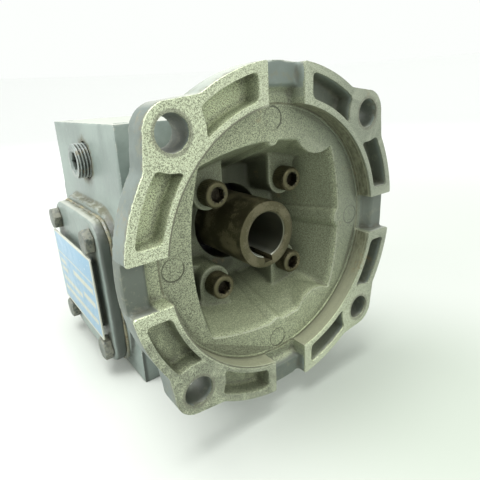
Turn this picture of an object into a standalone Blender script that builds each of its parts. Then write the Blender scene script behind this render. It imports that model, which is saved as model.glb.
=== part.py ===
"""Right-angle worm gear reducer with an open C-face motor flange.

A cast-iron housing stands on its base.  The worm shaft, whose hollow front end takes the motor
shaft, runs along Y; the worm gear and the output shaft run along X below it.  An aluminium motor
flange is screwed to the front, and each side is closed by a square bearing cover.

Frame: +Z up, the motor face looks along -Y, the output shaft points along +X.  The origin is the
centre of the housing's base face.  Lengths are in metres.
"""

from math import acos, asin, cos, degrees, pi, radians, sin, sqrt, tan

import bmesh
import bpy
from mathutils import Matrix

NAME = "worm_gear_reducer"

# ---- driving dimensions -------------------------------------------------------------------------
CENTRE_DISTANCE = 0.0391        # worm axis above the output axis
OUTPUT_Z = 0.0508               # output axis above the base
INPUT_Z = OUTPUT_Z + CENTRE_DISTANCE
FACE_Y = -0.122                 # the motor face
GAP = 0.0003                    # room kept between two pieces that touch
PAST = 0.001                    # how far a cutter runs past the face it opens
HOLE_SIDES = 8                  # sides of a small bolt hole

# worm and worm gear
GEAR_TEETH = 20
WORM_PITCH_R = 0.0114
GEAR_PITCH_R = CENTRE_DISTANCE - WORM_PITCH_R
LEAD = 2 * pi * GEAR_PITCH_R / GEAR_TEETH
MODULE = LEAD / pi
PRESSURE_ANGLE = radians(20)
BACKLASH = 0.0005
WORM_TURNS = 5
GEAR_FACE = 0.016
GEAR_HUB = 0.024                # length over the hub
GEAR_HUB_R = 0.019
SPACER_R = 0.0165

# housing
HOUSING_HALF_Y = 0.056
HOUSING_TOP = 0.144
HOUSING_HALF_TOP = 0.049        # half width at the top; the sides have casting draft
HOUSING_HALF_BASE = 0.0525
HOUSING_EDGE = 0.0025
NECK_ROOT = 0.045               # where each side neck starts, inside the wall, and ends
NECK_FACE = 0.0545
NECK_HALF = 0.048
NECK_CORNER = 0.026
CHAMBER_HALF_X = 0.041
CHAMBER_HALF_Y = 0.047
CHAMBER_CORNER = 0.018
CHAMBER_FLOOR = 0.009
CHAMBER_ROOF = 0.135
SIDE_BORE_R = 0.0366
FRONT_WALL_END = 0.050          # where the inner bosses meet the front and rear walls
FRONT_BOSS = (0.040, 0.0335)    # bearing bosses inside: radius, and their inner face
REAR_BOSS = (0.028, 0.031)
FRONT_LIP_R = 0.019             # what is left open inside each bearing's seat
REAR_LIP_R = 0.0165
BORE_CLEAR = 0.002              # how far a bore's cutter runs past the walls it opens
FOOT_HOLE = (0.041, 0.046)      # tapped mounting holes, base and top
FOOT_HOLE_R = 0.004
FOOT_HOLE_DEPTH = 0.016
SCREW_HOLE_END = 0.037          # bottom of the tapped holes for the flange's screws

# side covers
COVER_HALF = 0.044
COVER_CORNER = 0.014
COVER_INNER = NECK_FACE + 0.0012
COVER_FACE = 0.062
COVER_BOLT = 0.033              # bolt offset from the output axis, both ways
SPIGOT_END = 0.0265
COVER_HOLE_R = 0.0043
COVER_HOLE_END = 0.0425         # bottom of the tapped holes
PAD_HALF = (0.021, 0.032)       # raised pad under the nameplate, up and along
PAD_FACE = 0.0652
PLATE_HALF = (0.0252, 0.039)
PLATE_T = 0.0008
SEAL_BOSS = (0.027, 0.0655)     # right cover: radius and outer face

# motor flange, in the frame of the motor face: x right, y up, z out of the face
FLANGE_R = 0.0766
FLANGE_T = 0.0127
BOLT_XY = 0.05276               # 149.2 mm bolt circle
EAR_R = 0.0107
EAR_BLEND = 2                   # degrees of the disc's edge that blend into each ear
HOLE_R_FRONT = 0.0069
HOLE_R_BACK = 0.0056
REGISTER_R = 0.060
REGISTER_DEPTH = 0.0095
NOTCH_HALF = 0.010
NOTCH_FLOOR = 0.0052
NOTCH_STEP = 0.0001             # the notches stay this much above the register's floor
NOTCH_RAMP = (0.065, 0.0675)    # radii between which a notch's floor rises
POCKET_INNER = 0.0635
POCKET_OUTER = 0.07275
POCKET_DEPTH = 0.0087
POCKET_EDGE = 0.0148            # offset of a pocket's straight end from the flange's axis
POCKET_EAR_R = 0.0137
CAVITY_HALF = 0.045
CAVITY_CORNER = 0.0385
CAVITY_FLOOR = 0.048
CAVITY_FLOOR_HALF = 0.031
BODY_HALF = 0.051
BODY_BACK_HALF = 0.041
FLANGE_BACK = 0.0648            # depth of the flange's back face behind the motor face
SCREW_XY = 0.02265
SCREW_R = 0.00397
SCREW_HOLE_R = 0.0043
SCREW_SEAT = 0.0295
BOSS_R = 0.0097
THROAT_R = 0.0205
LOBE_XY = (0.0285, 0.0515)
LOBE_R = 0.0155

# shafts
QUILL_R = 0.0167
QUILL_BORE_R = 0.0111
QUILL_FRONT = 0.107             # quill's front end, ahead of the output axis
QUILL_BORE_END = 0.052
SHAFT_R = 0.0127
SHAFT_LEFT = -0.046
SHAFT_RIGHT = 0.112
MOTOR_KEY = 0.0048              # width of the motor's key
KEY_WIDTH = 0.00635             # output keys
KEY_DEPTH = 0.0032
GEAR_KEY = (-0.010, 0.010)      # where each key lies along the shaft
OUTPUT_KEY = (0.070, 0.1085)

# ball bearings: bore radius, outside radius, width, ball radius, ball count
FRONT_BEARING = (0.015, 0.0235, 0.009, 0.0023, 12)
REAR_BEARING = (0.010, 0.021, 0.012, 0.0034, 9)
OUTPUT_BEARING = (SHAFT_R, 0.026, 0.015, 0.0040, 9)
FRONT_BEARING_U = 0.0405        # bearing centres, ahead of the output axis
REAR_BEARING_U = -0.038
OUTPUT_BEARING_X = 0.0355
INPUT_SEAL = (0.0485, 0.0555)   # where each seal sits along its shaft
OUTPUT_SEAL = (0.0575, 0.0645)
OUTPUT_SEAL_R = 0.020
FRONT_RING = (0.0205, 0.0246, 0.0457, 0.0470)   # retaining rings: inner, outer, low, high
WORM_RING = (0.0145, 0.0165, 0.0345, 0.0354)
RING_GROOVE_ROOM = 0.0003

# colours and finishes: colour, roughness, metallic
CAST_GREY = ((0.34, 0.39, 0.40), 0.55, 0.0)
CAST_ALUMINIUM = ((0.44, 0.46, 0.37), 0.55, 0.8)
DARK_STEEL = ((0.07, 0.055, 0.045), 0.5, 0.7)
GROUND_STEEL = ((0.55, 0.55, 0.54), 0.25, 1.0)
BRONZE = ((0.55, 0.36, 0.16), 0.35, 1.0)
RUBBER = ((0.03, 0.03, 0.03), 0.7, 0.0)
PAPER = ((0.35, 0.28, 0.18), 0.8, 0.0)
PLATE_BLUE = ((0.35, 0.55, 0.75), 0.4, 0.0)


# ---- scene --------------------------------------------------------------------------------------
def clear_scene():
    for obj in list(bpy.data.objects):
        bpy.data.objects.remove(obj, do_unlink=True)


def new_collection(name):
    collection = bpy.data.collections.new(name)
    bpy.context.scene.collection.children.link(collection)
    return collection


def axis_empty(name, location, rotation):
    empty = bpy.data.objects.new(name, None)
    empty.empty_display_size = 0.02
    empty.location = location
    empty.rotation_euler = rotation
    PARTS.objects.link(empty)
    return empty


clear_scene()
PARTS = new_collection(NAME)
CUTTERS = new_collection(NAME + "_cutters")
FACE = axis_empty("motor_face", (0, FACE_Y, INPUT_Z), (radians(90), 0, 0))
WORM_AXIS = axis_empty("worm_axis", (0, 0, INPUT_Z), (radians(90), 0, 0))
RIGHT = axis_empty("output_axis", (0, 0, OUTPUT_Z), (0, radians(90), 0))
LEFT = axis_empty("left_side", (0, 0, OUTPUT_Z), (0, radians(-90), 0))


# ---- helpers ------------------------------------------------------------------------------------
def add_object(name, mesh, parent=None, at=(0, 0, 0), turn=(0, 0, 0)):
    obj = bpy.data.objects.new(name, mesh)
    obj.parent = parent
    obj.location = at
    obj.rotation_euler = turn
    PARTS.objects.link(obj)
    return obj


def from_bmesh(name, bm, **place):
    mesh = bpy.data.meshes.new(name)
    bm.to_mesh(mesh)
    bm.free()
    return add_object(name, mesh, **place)


def block(name, size, **place):
    bm = bmesh.new()
    bmesh.ops.create_cube(bm, size=1)
    bmesh.ops.scale(bm, vec=size, verts=bm.verts)
    return from_bmesh(name, bm, **place)


def rod(name, radius, low, high, x=0, y=0, parent=None, sides=28, top_radius=None, turn=(0, 0, 0)):
    """A cylinder, or a cone, along the local z axis from low to high."""
    bm = bmesh.new()
    top = radius if top_radius is None else top_radius
    bmesh.ops.create_cone(bm, cap_ends=True, segments=sides, radius1=radius, radius2=top,
                          depth=high - low)
    return from_bmesh(name, bm, parent=parent, at=(x, y, (low + high) / 2), turn=turn)


def turned(name, profile, steps=28, closed=False, **place):
    """A profile of (radius, z) points turned about the local z axis, outer side downwards."""
    mesh = bpy.data.meshes.new(name)
    edges = [(i, i + 1) for i in range(len(profile) - 1)]
    if closed:
        edges.append((len(profile) - 1, 0))
    mesh.from_pydata([(r, 0, z) for r, z in profile], edges, [])
    obj = add_object(name, mesh, **place)
    screw = obj.modifiers.new("turn", "SCREW")
    screw.steps = steps
    screw.render_steps = steps
    screw.use_merge_vertices = True
    screw.merge_threshold = 0.000001
    return obj


def ring(name, inner, outer, low, high, steps=28, **place):
    profile = [(inner, high), (outer, high), (outer, low), (inner, low)]
    return turned(name, profile, steps=steps, closed=True, **place)


def prism(name, outline, low, high, low_scale=1.0, **place):
    """A flat outline extruded from low to high; low_scale tapers its lower end."""
    curve = bpy.data.curves.new(name, "CURVE")
    curve.dimensions = "2D"
    curve.fill_mode = "BOTH"
    curve.extrude = (high - low) / 2
    spline = curve.splines.new("POLY")
    spline.points.add(len(outline) - 1)
    for point, (x, y) in zip(spline.points, outline):
        point.co = (x, y, 0, 1)
    spline.use_cyclic_u = True
    guide = bpy.data.objects.new(name + "_outline", curve)
    CUTTERS.objects.link(guide)
    graph = bpy.context.evaluated_depsgraph_get()
    mesh = bpy.data.meshes.new_from_object(guide.evaluated_get(graph))
    bpy.data.objects.remove(guide)
    bm = bmesh.new()
    bm.from_mesh(mesh)
    bmesh.ops.remove_doubles(bm, verts=bm.verts, dist=0.000001)
    lower = [v for v in bm.verts if v.co.z < 0]
    bmesh.ops.scale(bm, vec=(low_scale, low_scale, 1), verts=lower)
    bmesh.ops.translate(bm, vec=(0, 0, (low + high) / 2), verts=bm.verts)
    bmesh.ops.recalc_face_normals(bm, faces=bm.faces)
    return from_bmesh(name, bm, **place)


def twisted(name, outline, start, turns, rise, steps, flat, **place):
    """An outline swept about the local z axis while it rises along it.

    With flat set the outline lies across z, as a gear's does; otherwise it stands in the x-z plane,
    as a screw thread's does.
    """
    bm = bmesh.new()
    verts = [bm.verts.new((a, b, 0) if flat else (a, 0, b)) for a, b in outline]
    bm.faces.new(verts)
    bmesh.ops.rotate(bm, matrix=Matrix.Rotation(start, 3, "Z"), verts=bm.verts)
    bmesh.ops.translate(bm, vec=(0, 0, -rise / 2), verts=bm.verts)
    bmesh.ops.spin(bm, geom=bm.faces[:] + bm.edges[:] + bm.verts[:], axis=(0, 0, 1), cent=(0, 0, 0),
                   dvec=(0, 0, rise / steps), angle=turns * 2 * pi, steps=steps)
    bmesh.ops.remove_doubles(bm, verts=bm.verts, dist=0.000001)
    bmesh.ops.holes_fill(bm, edges=bm.edges[:], sides=0)
    bmesh.ops.recalc_face_normals(bm, faces=bm.faces)
    return from_bmesh(name, bm, **place)


def combine(obj, other, operation):
    """Join other to obj or cut it away; other moves to the cutters."""
    modifier = obj.modifiers.new(other.name, "BOOLEAN")
    modifier.operation = operation
    modifier.object = other
    if other.name in PARTS.objects:
        PARTS.objects.unlink(other)
        CUTTERS.objects.link(other)
    other.hide_render = True
    other.display_type = "WIRE"


def join(obj, *others):
    for other in others:
        combine(obj, other, "UNION")


def cut(obj, *others):
    for other in others:
        combine(obj, other, "DIFFERENCE")


def finish(obj, look, sharp=35):
    """Give an object its material and smooth shading with sharp edges."""
    colour, roughness, metallic = look
    material = bpy.data.materials.new(obj.name)
    material.use_nodes = True
    shader = material.node_tree.nodes["Principled BSDF"]
    shader.inputs["Base Color"].default_value = (*colour, 1)
    shader.inputs["Roughness"].default_value = roughness
    shader.inputs["Metallic"].default_value = metallic
    material.diffuse_color = (*colour, 1)
    obj.data.materials.append(material)
    obj.data.shade_smooth()
    obj.data.set_sharp_from_angle(angle=radians(sharp))
    return obj


def arc(cx, cy, radius, start, end, steps):
    """Points on an arc; start and end in degrees."""
    angles = [radians(start + (end - start) * i / steps) for i in range(steps + 1)]
    return [(cx + radius * cos(a), cy + radius * sin(a)) for a in angles]


def rotated(points, quarter):
    """Points turned by a number of quarter turns."""
    for _ in range(quarter):
        points = [(-y, x) for x, y in points]
    return points


def rounded_rectangle(half_x, half_y, radius, steps=4):
    corners = [(1, 1, 0), (-1, 1, 90), (-1, -1, 180), (1, -1, 270)]
    points = []
    for sx, sy, start in corners:
        centre = (sx * (half_x - radius), sy * (half_y - radius))
        points += arc(*centre, radius, start, start + 90, steps)
    return points


def bowed_square(half, corner, steps=6):
    """A square with corners at +-corner whose sides bow out to +-half."""
    rise = half - corner
    radius = (corner ** 2 + rise ** 2) / (2 * rise)
    sweep = degrees(asin(corner / radius))
    side = arc(half - radius, 0, radius, -sweep, sweep, steps)[:-1]
    return [p for quarter in range(4) for p in rotated(side, quarter)]


# ---- motor flange -------------------------------------------------------------------------------
def flange_outline():
    """A disc with four ears, whose sides run nearly tangent from the ears' rounds to the disc."""
    meet = degrees(acos((BOLT_XY + EAR_R) / FLANGE_R)) - EAR_BLEND
    quarter = arc(0, 0, FLANGE_R, -meet, meet, 10) + arc(BOLT_XY, BOLT_XY, EAR_R, 0, 90, 6)
    return [p for k in range(4) for p in rotated(quarter, k)]


def pocket_outline():
    """One relief pocket between a notch and an ear, in the first eighth of the ring."""
    ear = sqrt(2) * BOLT_XY

    def meets_ear(r):
        return 45 - degrees(acos((r * r + ear * ear - POCKET_EAR_R ** 2) / (2 * r * ear)))

    def ear_angle(r):
        a = radians(meets_ear(r))
        return degrees(-acos((r * cos(a) - BOLT_XY) / POCKET_EAR_R))

    outer = arc(0, 0, POCKET_OUTER, degrees(asin(POCKET_EDGE / POCKET_OUTER)),
                meets_ear(POCKET_OUTER), 3)
    end = arc(BOLT_XY, BOLT_XY, POCKET_EAR_R, ear_angle(POCKET_OUTER), ear_angle(POCKET_INNER), 3)
    inner = arc(0, 0, POCKET_INNER, meets_ear(POCKET_INNER),
                degrees(asin(POCKET_EDGE / POCKET_INNER)), 3)
    return outer + end[1:-1] + inner


def cavity_core():
    """The hollow behind the register: a tapered bowed square less its bosses and lobes."""
    slope = (CAVITY_HALF - CAVITY_FLOOR_HALF) / (CAVITY_FLOOR - REGISTER_DEPTH)
    top = -REGISTER_DEPTH + PAST / 2
    top_half = CAVITY_HALF + slope * PAST / 2
    outline = bowed_square(top_half, top_half * CAVITY_CORNER / CAVITY_HALF)
    core = prism("cavity_core", outline, -CAVITY_FLOOR, top, CAVITY_FLOOR_HALF / top_half,
                 parent=FACE)
    low = -CAVITY_FLOOR - PAST
    edge = SCREW_XY - BOSS_R
    far = CAVITY_HALF + BOSS_R
    boss = [(far, far), (edge, far)] + arc(SCREW_XY, SCREW_XY, BOSS_R, 180, 270, 5) + [(far, edge)]
    for k in range(4):
        cut(core, prism(f"boss_{k}", rotated(boss, k), low, -SCREW_SEAT, parent=FACE))
    for side in (-1, 1):
        lobe = rod(f"lobe_{side}", LOBE_R, low, top + PAST, LOBE_XY[0], side * LOBE_XY[1], FACE)
        cut(core, lobe)
    return core


def motor_flange():
    flange = prism("motor_flange", flange_outline(), -FLANGE_T, 0, parent=FACE)
    body = bowed_square(BODY_HALF, BODY_HALF * CAVITY_CORNER / CAVITY_HALF)
    join(flange, prism("flange_body", body, -FLANGE_BACK, -FLANGE_T + 2 * PAST,
                       BODY_BACK_HALF / BODY_HALF, parent=FACE))
    cut(flange, rod("register", REGISTER_R, -REGISTER_DEPTH, PAST, parent=FACE, sides=48))
    cut(flange, cavity_core())
    cut(flange, rod("throat", THROAT_R, -FLANGE_BACK - PAST, -CAVITY_FLOOR + PAST, parent=FACE))
    low = -REGISTER_DEPTH + NOTCH_STEP
    start, end = REGISTER_R - 2 * PAST, FLANGE_R + 2 * PAST
    ramp = [(start, low), (NOTCH_RAMP[0], low), (NOTCH_RAMP[1], -NOTCH_FLOOR),
            (end, -NOTCH_FLOOR), (end, PAST), (start, PAST)]
    for k in range(4):
        notch = prism(f"notch_{k}", ramp, -NOTCH_HALF, NOTCH_HALF, parent=FACE)
        notch.matrix_local = Matrix.Rotation(k * pi / 2, 4, "Z") @ Matrix.Rotation(pi / 2, 4, "X")
        cut(flange, notch)
        for mirrored in (False, True):
            outline = pocket_outline()
            if mirrored:
                outline = [(y, x) for x, y in reversed(outline)]
            cut(flange, prism(f"pocket_{k}_{mirrored}", rotated(outline, k), -POCKET_DEPTH, PAST,
                              parent=FACE))
        x, y = rotated([(BOLT_XY, BOLT_XY)], k)[0]
        cut(flange, rod(f"flange_hole_{k}", HOLE_R_BACK, -FLANGE_T - PAST, PAST, x, y, FACE,
                        sides=16, top_radius=HOLE_R_FRONT))
        x, y = rotated([(SCREW_XY, SCREW_XY)], k)[0]
        cut(flange, rod(f"screw_hole_{k}", SCREW_HOLE_R, -FLANGE_BACK - PAST, -SCREW_SEAT + PAST,
                        x, y, FACE, sides=HOLE_SIDES))
    finish(flange, CAST_ALUMINIUM)


def flange_screws():
    """Four socket head cap screws through the flange into the housing."""
    head_r, head_h, socket_r, socket_depth, length = 0.0062, 0.0079, 0.0037, 0.004, 0.0535
    chamfer = 0.0005
    seat = -SCREW_SEAT + GAP
    top, tip = seat + head_h, seat - length
    profile = [(0, top), (head_r - chamfer, top), (head_r, top - chamfer), (head_r, seat),
               (SCREW_R, seat), (SCREW_R, tip + 2 * chamfer), (SCREW_R - 2 * chamfer, tip),
               (0, tip)]
    for k in range(4):
        x, y = rotated([(-SCREW_XY, SCREW_XY)], k)[0]
        screw = turned(f"flange_screw_{k + 1}", profile, steps=12, parent=FACE, at=(x, y, 0))
        cut(screw, rod(f"socket_{k}", socket_r, top - socket_depth, top + PAST, x, y, FACE,
                       sides=6))
        finish(screw, DARK_STEEL)


def flange_gasket():
    """The paper gasket between the flange and the housing."""
    low, high = HOUSING_HALF_Y + GAP, -FACE_Y - FLANGE_BACK - GAP
    half = BODY_BACK_HALF - PAST
    gasket = prism("flange_gasket", bowed_square(half, half * CAVITY_CORNER / CAVITY_HALF),
                   low, high, parent=WORM_AXIS)
    cut(gasket, rod("gasket_bore", FRONT_BEARING[1] + PAST, low - PAST, high + PAST,
                    parent=WORM_AXIS))
    for k in range(4):
        x, y = rotated([(SCREW_XY, SCREW_XY)], k)[0]
        cut(gasket, rod(f"gasket_hole_{k}", SCREW_HOLE_R, low - PAST, high + PAST, x, y, WORM_AXIS,
                        sides=HOLE_SIDES))
    finish(gasket, PAPER)


# ---- housing ------------------------------------------------------------------------------------
def housing_body():
    bm = bmesh.new()
    bmesh.ops.create_cube(bm, size=1)
    bmesh.ops.scale(bm, vec=(2 * HOUSING_HALF_BASE, 2 * HOUSING_HALF_Y, HOUSING_TOP), verts=bm.verts)
    top = [v for v in bm.verts if v.co.z > 0]
    bmesh.ops.scale(bm, vec=(HOUSING_HALF_TOP / HOUSING_HALF_BASE, 1, 1), verts=top)
    bmesh.ops.translate(bm, vec=(0, 0, HOUSING_TOP / 2), verts=bm.verts)
    body = from_bmesh("housing", bm)
    bevel = body.modifiers.new("cast edges", "BEVEL")
    bevel.width = HOUSING_EDGE
    bevel.segments = 2
    return body


def housing():
    case = housing_body()
    outline = rounded_rectangle(NECK_HALF, NECK_HALF, NECK_CORNER)
    for side, parent in (("left", LEFT), ("right", RIGHT)):
        join(case, prism(f"{side}_neck", outline, NECK_ROOT, NECK_FACE, parent=parent))
    chamber = rounded_rectangle(CHAMBER_HALF_X, CHAMBER_HALF_Y, CHAMBER_CORNER)
    cut(case, prism("chamber", chamber, CHAMBER_FLOOR, CHAMBER_ROOF))
    join(case, rod("front_boss", *FRONT_BOSS, FRONT_WALL_END, parent=WORM_AXIS, sides=40))
    join(case, rod("rear_boss", REAR_BOSS[0], -FRONT_WALL_END, -REAR_BOSS[1], parent=WORM_AXIS))
    outside = HOUSING_HALF_Y + BORE_CLEAR
    front_end = FRONT_BEARING_U - FRONT_BEARING[2] / 2 - GAP
    cut(case, rod("front_bore", FRONT_BEARING[1] + GAP, front_end, outside, parent=WORM_AXIS))
    cut(case, rod("front_lip", FRONT_LIP_R, FRONT_BOSS[1] - BORE_CLEAR, front_end + BORE_CLEAR,
                  parent=WORM_AXIS))
    ring_outer, ring_low, ring_high = FRONT_RING[1:]
    cut(case, rod("front_groove", ring_outer + RING_GROOVE_ROOM, ring_low - RING_GROOVE_ROOM,
                  ring_high + RING_GROOVE_ROOM, parent=WORM_AXIS))
    rear_end = REAR_BEARING_U + REAR_BEARING[2] / 2 + GAP
    cut(case, rod("rear_bore", REAR_BEARING[1] + GAP, -outside, rear_end, parent=WORM_AXIS))
    cut(case, rod("rear_lip", REAR_LIP_R, rear_end - BORE_CLEAR, -REAR_BOSS[1] + BORE_CLEAR,
                  parent=WORM_AXIS))
    for side, parent in (("left", LEFT), ("right", RIGHT)):
        cut(case, rod(f"{side}_bore", SIDE_BORE_R, SPIGOT_END - PAST, NECK_FACE + PAST,
                      parent=parent, sides=36))
        for k in range(4):
            x, y = rotated([(COVER_BOLT, COVER_BOLT)], k)[0]
            cut(case, rod(f"{side}_tapped_{k}", COVER_HOLE_R, COVER_HOLE_END, NECK_FACE + PAST,
                          x, y, parent, sides=HOLE_SIDES))
    for k in range(4):
        x, y = rotated([(SCREW_XY, SCREW_XY)], k)[0]
        cut(case, rod(f"front_tapped_{k}", SCREW_HOLE_R, SCREW_HOLE_END, HOUSING_HALF_Y + PAST,
                      x, y, WORM_AXIS, sides=HOLE_SIDES))
        sx, sy = rotated([(1, 1)], k)[0]
        foot_x, foot_y = sx * FOOT_HOLE[0], sy * FOOT_HOLE[1]
        cut(case, rod(f"base_tapped_{k}", FOOT_HOLE_R, -PAST, FOOT_HOLE_DEPTH, foot_x, foot_y,
                      sides=HOLE_SIDES))
        cut(case, rod(f"top_tapped_{k}", FOOT_HOLE_R, HOUSING_TOP - FOOT_HOLE_DEPTH,
                      HOUSING_TOP + PAST, foot_x, foot_y, sides=HOLE_SIDES))
    for name, parent, x, y, _, inner, radius in PLUGS:
        direction = 1 if inner > 0 else -1
        ends = sorted((inner - direction * 2 * BORE_CLEAR, direction * PLUG_HOLE_MOUTH))
        cut(case, rod(name + "_hole", radius + GAP, *ends, x, y, parent, sides=PLUG_SIDES))
    finish(case, CAST_GREY)


# ---- plugs --------------------------------------------------------------------------------------
PLUG_SIDES = 16
PLUG_HOLE_MOUTH = 0.060         # past every wall that a plug goes through
PIPE_R = 0.0102                 # half-inch pipe plug, near the small end of its taper
SMALL_PIPE_R = 0.0086
PLUG_UP = 0.0721                # fill and vent plugs above the output axis
LOW_PLUG = 0.022 - INPUT_Z      # drain plug, low in the rear wall
LEVEL_PLUG = (0.032, OUTPUT_Z + 0.006 - INPUT_Z)
# name, parent, local x, local y, outer end, inner end, radius; ends along the local z axis
PLUGS = [
    ("fill_plug", LEFT, PLUG_UP, -0.003, 0.0560, 0.0425, PIPE_R),
    ("vent_plug", RIGHT, -PLUG_UP, -0.003, 0.0560, 0.0425, PIPE_R),
    ("drain_plug", WORM_AXIS, 0, LOW_PLUG, -0.0590, -0.0485, SMALL_PIPE_R),
    ("level_plug", WORM_AXIS, *LEVEL_PLUG, -0.0590, -0.0485, SMALL_PIPE_R),
]


def plugs():
    """Socket pipe plugs: a chamfered cylinder with a hexagon socket in its outer end."""
    chamfer, socket_depth = 0.0008, 0.007
    for name, parent, x, y, outer, inner, radius in PLUGS:
        high, low = max(outer, inner), min(outer, inner)
        profile = [(0, high), (radius - chamfer, high), (radius, high - chamfer),
                   (radius, low + chamfer), (radius - chamfer, low), (0, low)]
        plug = turned(name, profile, steps=PLUG_SIDES, parent=parent, at=(x, y, 0))
        direction = 1 if outer > inner else -1
        ends = sorted((outer + direction * PAST, outer - direction * socket_depth))
        cut(plug, rod(name + "_socket", radius / 2, *ends, x, y, parent, sides=6))
        finish(plug, CAST_GREY)


# ---- side covers --------------------------------------------------------------------------------
def cover(name, parent):
    """A square cover with a spigot that carries an output bearing."""
    outline = rounded_rectangle(COVER_HALF, COVER_HALF, COVER_CORNER)
    plate = prism(name, outline, COVER_INNER, COVER_FACE, parent=parent)
    join(plate, rod(name + "_spigot", SIDE_BORE_R - GAP, SPIGOT_END, COVER_INNER + PAST,
                    parent=parent, sides=36))
    pocket_end = OUTPUT_BEARING_X + OUTPUT_BEARING[2] / 2 + GAP
    cut(plate, rod(name + "_pocket", OUTPUT_BEARING[1] + GAP, SPIGOT_END - PAST, pocket_end,
                   parent=parent))
    for k in range(4):
        x, y = rotated([(COVER_BOLT, COVER_BOLT)], k)[0]
        cut(plate, rod(f"{name}_hole_{k}", COVER_HOLE_R, COVER_INNER - PAST, COVER_FACE + PAST,
                       x, y, parent, sides=HOLE_SIDES))
    return plate


def left_cover():
    """The closed cover: a relief past the shaft's end, and a raised pad for the nameplate."""
    plate = cover("left_cover", LEFT)
    relief_r, relief_end = 0.018, 0.051
    cut(plate, rod("left_cover_relief", relief_r, OUTPUT_BEARING_X, relief_end, parent=LEFT))
    pad = rounded_rectangle(*PAD_HALF, 0.004, 3)
    join(plate, prism("nameplate_pad", pad, COVER_FACE - PAST, PAD_FACE, parent=LEFT))
    finish(plate, CAST_GREY)


def right_cover():
    """The open cover: the shaft passes through it and through the seal in its boss."""
    plate = cover("right_cover", RIGHT)
    boss_r, boss_face = SEAL_BOSS
    join(plate, rod("seal_boss", boss_r, COVER_FACE - PAST, boss_face, parent=RIGHT))
    cut(plate, rod("shaft_hole", SHAFT_R + BORE_CLEAR, OUTPUT_BEARING_X, boss_face + PAST,
                   parent=RIGHT))
    cut(plate, rod("seal_bore", OUTPUT_SEAL_R + GAP, OUTPUT_SEAL[0] - GAP, boss_face + PAST,
                   parent=RIGHT))
    finish(plate, CAST_GREY)


def cover_gasket(name, parent):
    half = COVER_HALF - GAP
    low, high = NECK_FACE + GAP, COVER_INNER - GAP
    gasket = prism(name, rounded_rectangle(half, half, COVER_CORNER), low, high, parent=parent)
    cut(gasket, rod(name + "_bore", SIDE_BORE_R + GAP, low - PAST, high + PAST, parent=parent))
    for k in range(4):
        x, y = rotated([(COVER_BOLT, COVER_BOLT)], k)[0]
        cut(gasket, rod(f"{name}_hole_{k}", COVER_HOLE_R, low - PAST, high + PAST, x, y, parent,
                        sides=HOLE_SIDES))
    finish(gasket, PAPER)


def cover_bolts(side, parent):
    """Four hexagon head bolts, heads outwards."""
    head_r, head_h, tip = 0.00733, 0.0047, COVER_HOLE_END + 0.0015
    seat = COVER_FACE + GAP
    for k in range(4):
        x, y = rotated([(COVER_BOLT, COVER_BOLT)], k)[0]
        name = f"{side}_cover_bolt_{k + 1}"
        bolt = rod(name, head_r, seat, seat + head_h, x, y, parent, sides=6)
        join(bolt, rod(name + "_shank", SCREW_R, tip, seat + PAST, x, y, parent, sides=HOLE_SIDES))
        finish(bolt, CAST_GREY)


def nameplate():
    outline = rounded_rectangle(*PLATE_HALF, 0.002, 3)
    low = PAD_FACE + GAP
    finish(prism("nameplate", outline, low, low + PLATE_T, parent=LEFT), PLATE_BLUE)


# ---- bearings and seals -------------------------------------------------------------------------
def bearing(name, sizes, parent, z):
    """A deep groove ball bearing: outer ring, inner ring, and its balls in one cage."""
    bore, outside, width, ball, count = sizes
    bore += GAP
    pitch = (bore + outside) / 2
    shoulder = ball * 0.55
    half = width / 2
    groove = ball + GAP
    outer = [(pitch + shoulder, half), (outside, half), (outside, -half), (pitch + shoulder, -half),
             (pitch + groove, 0)]
    inner = [(bore, half), (pitch - shoulder, half), (pitch - groove, 0), (pitch - shoulder, -half),
             (bore, -half)]
    for part, profile in (("outer_ring", outer), ("inner_ring", inner)):
        finish(turned(f"{name}_{part}", profile, 28, True, parent=parent, at=(0, 0, z)),
               GROUND_STEEL)
    cage_r = ball * 0.25
    cage = ring(f"{name}_balls", pitch - cage_r, pitch + cage_r, -ball * 0.5, ball * 0.5, count,
                parent=parent, at=(0, 0, z))
    for i in range(count):
        angle = 2 * pi * i / count
        bm = bmesh.new()
        bmesh.ops.create_uvsphere(bm, u_segments=6, v_segments=4, radius=ball)
        place = (pitch * cos(angle), pitch * sin(angle), z)
        join(cage, from_bmesh(f"{name}_ball_{i}", bm, parent=parent, at=place))
    finish(cage, GROUND_STEEL)


def seal(name, inner, outer, low, high, parent):
    """A lip seal: a case with a groove in its open face."""
    wall = (outer - inner) * 0.3
    deep = (high - low) * 0.6
    profile = [(inner, high), (outer, high), (outer, low), (outer - wall, low),
               (outer - wall, low + deep), (inner + wall, low + deep), (inner + wall, low),
               (inner, low)]
    finish(turned(name, profile, 20, True, parent=parent), RUBBER)


def bearings_and_seals():
    bearing("front_bearing", FRONT_BEARING, WORM_AXIS, FRONT_BEARING_U)
    bearing("rear_bearing", REAR_BEARING, WORM_AXIS, REAR_BEARING_U)
    bearing("left_bearing", OUTPUT_BEARING, LEFT, OUTPUT_BEARING_X)
    bearing("right_bearing", OUTPUT_BEARING, RIGHT, OUTPUT_BEARING_X)
    seal("input_oil_seal", QUILL_R + GAP, FRONT_BEARING[1], *INPUT_SEAL, WORM_AXIS)
    seal("output_oil_seal", SHAFT_R + GAP, OUTPUT_SEAL_R, *OUTPUT_SEAL, RIGHT)
    finish(ring("front_retaining_ring", *FRONT_RING, parent=WORM_AXIS), DARK_STEEL)
    finish(ring("worm_retaining_ring", *WORM_RING, 24, parent=WORM_AXIS), DARK_STEEL)


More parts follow.
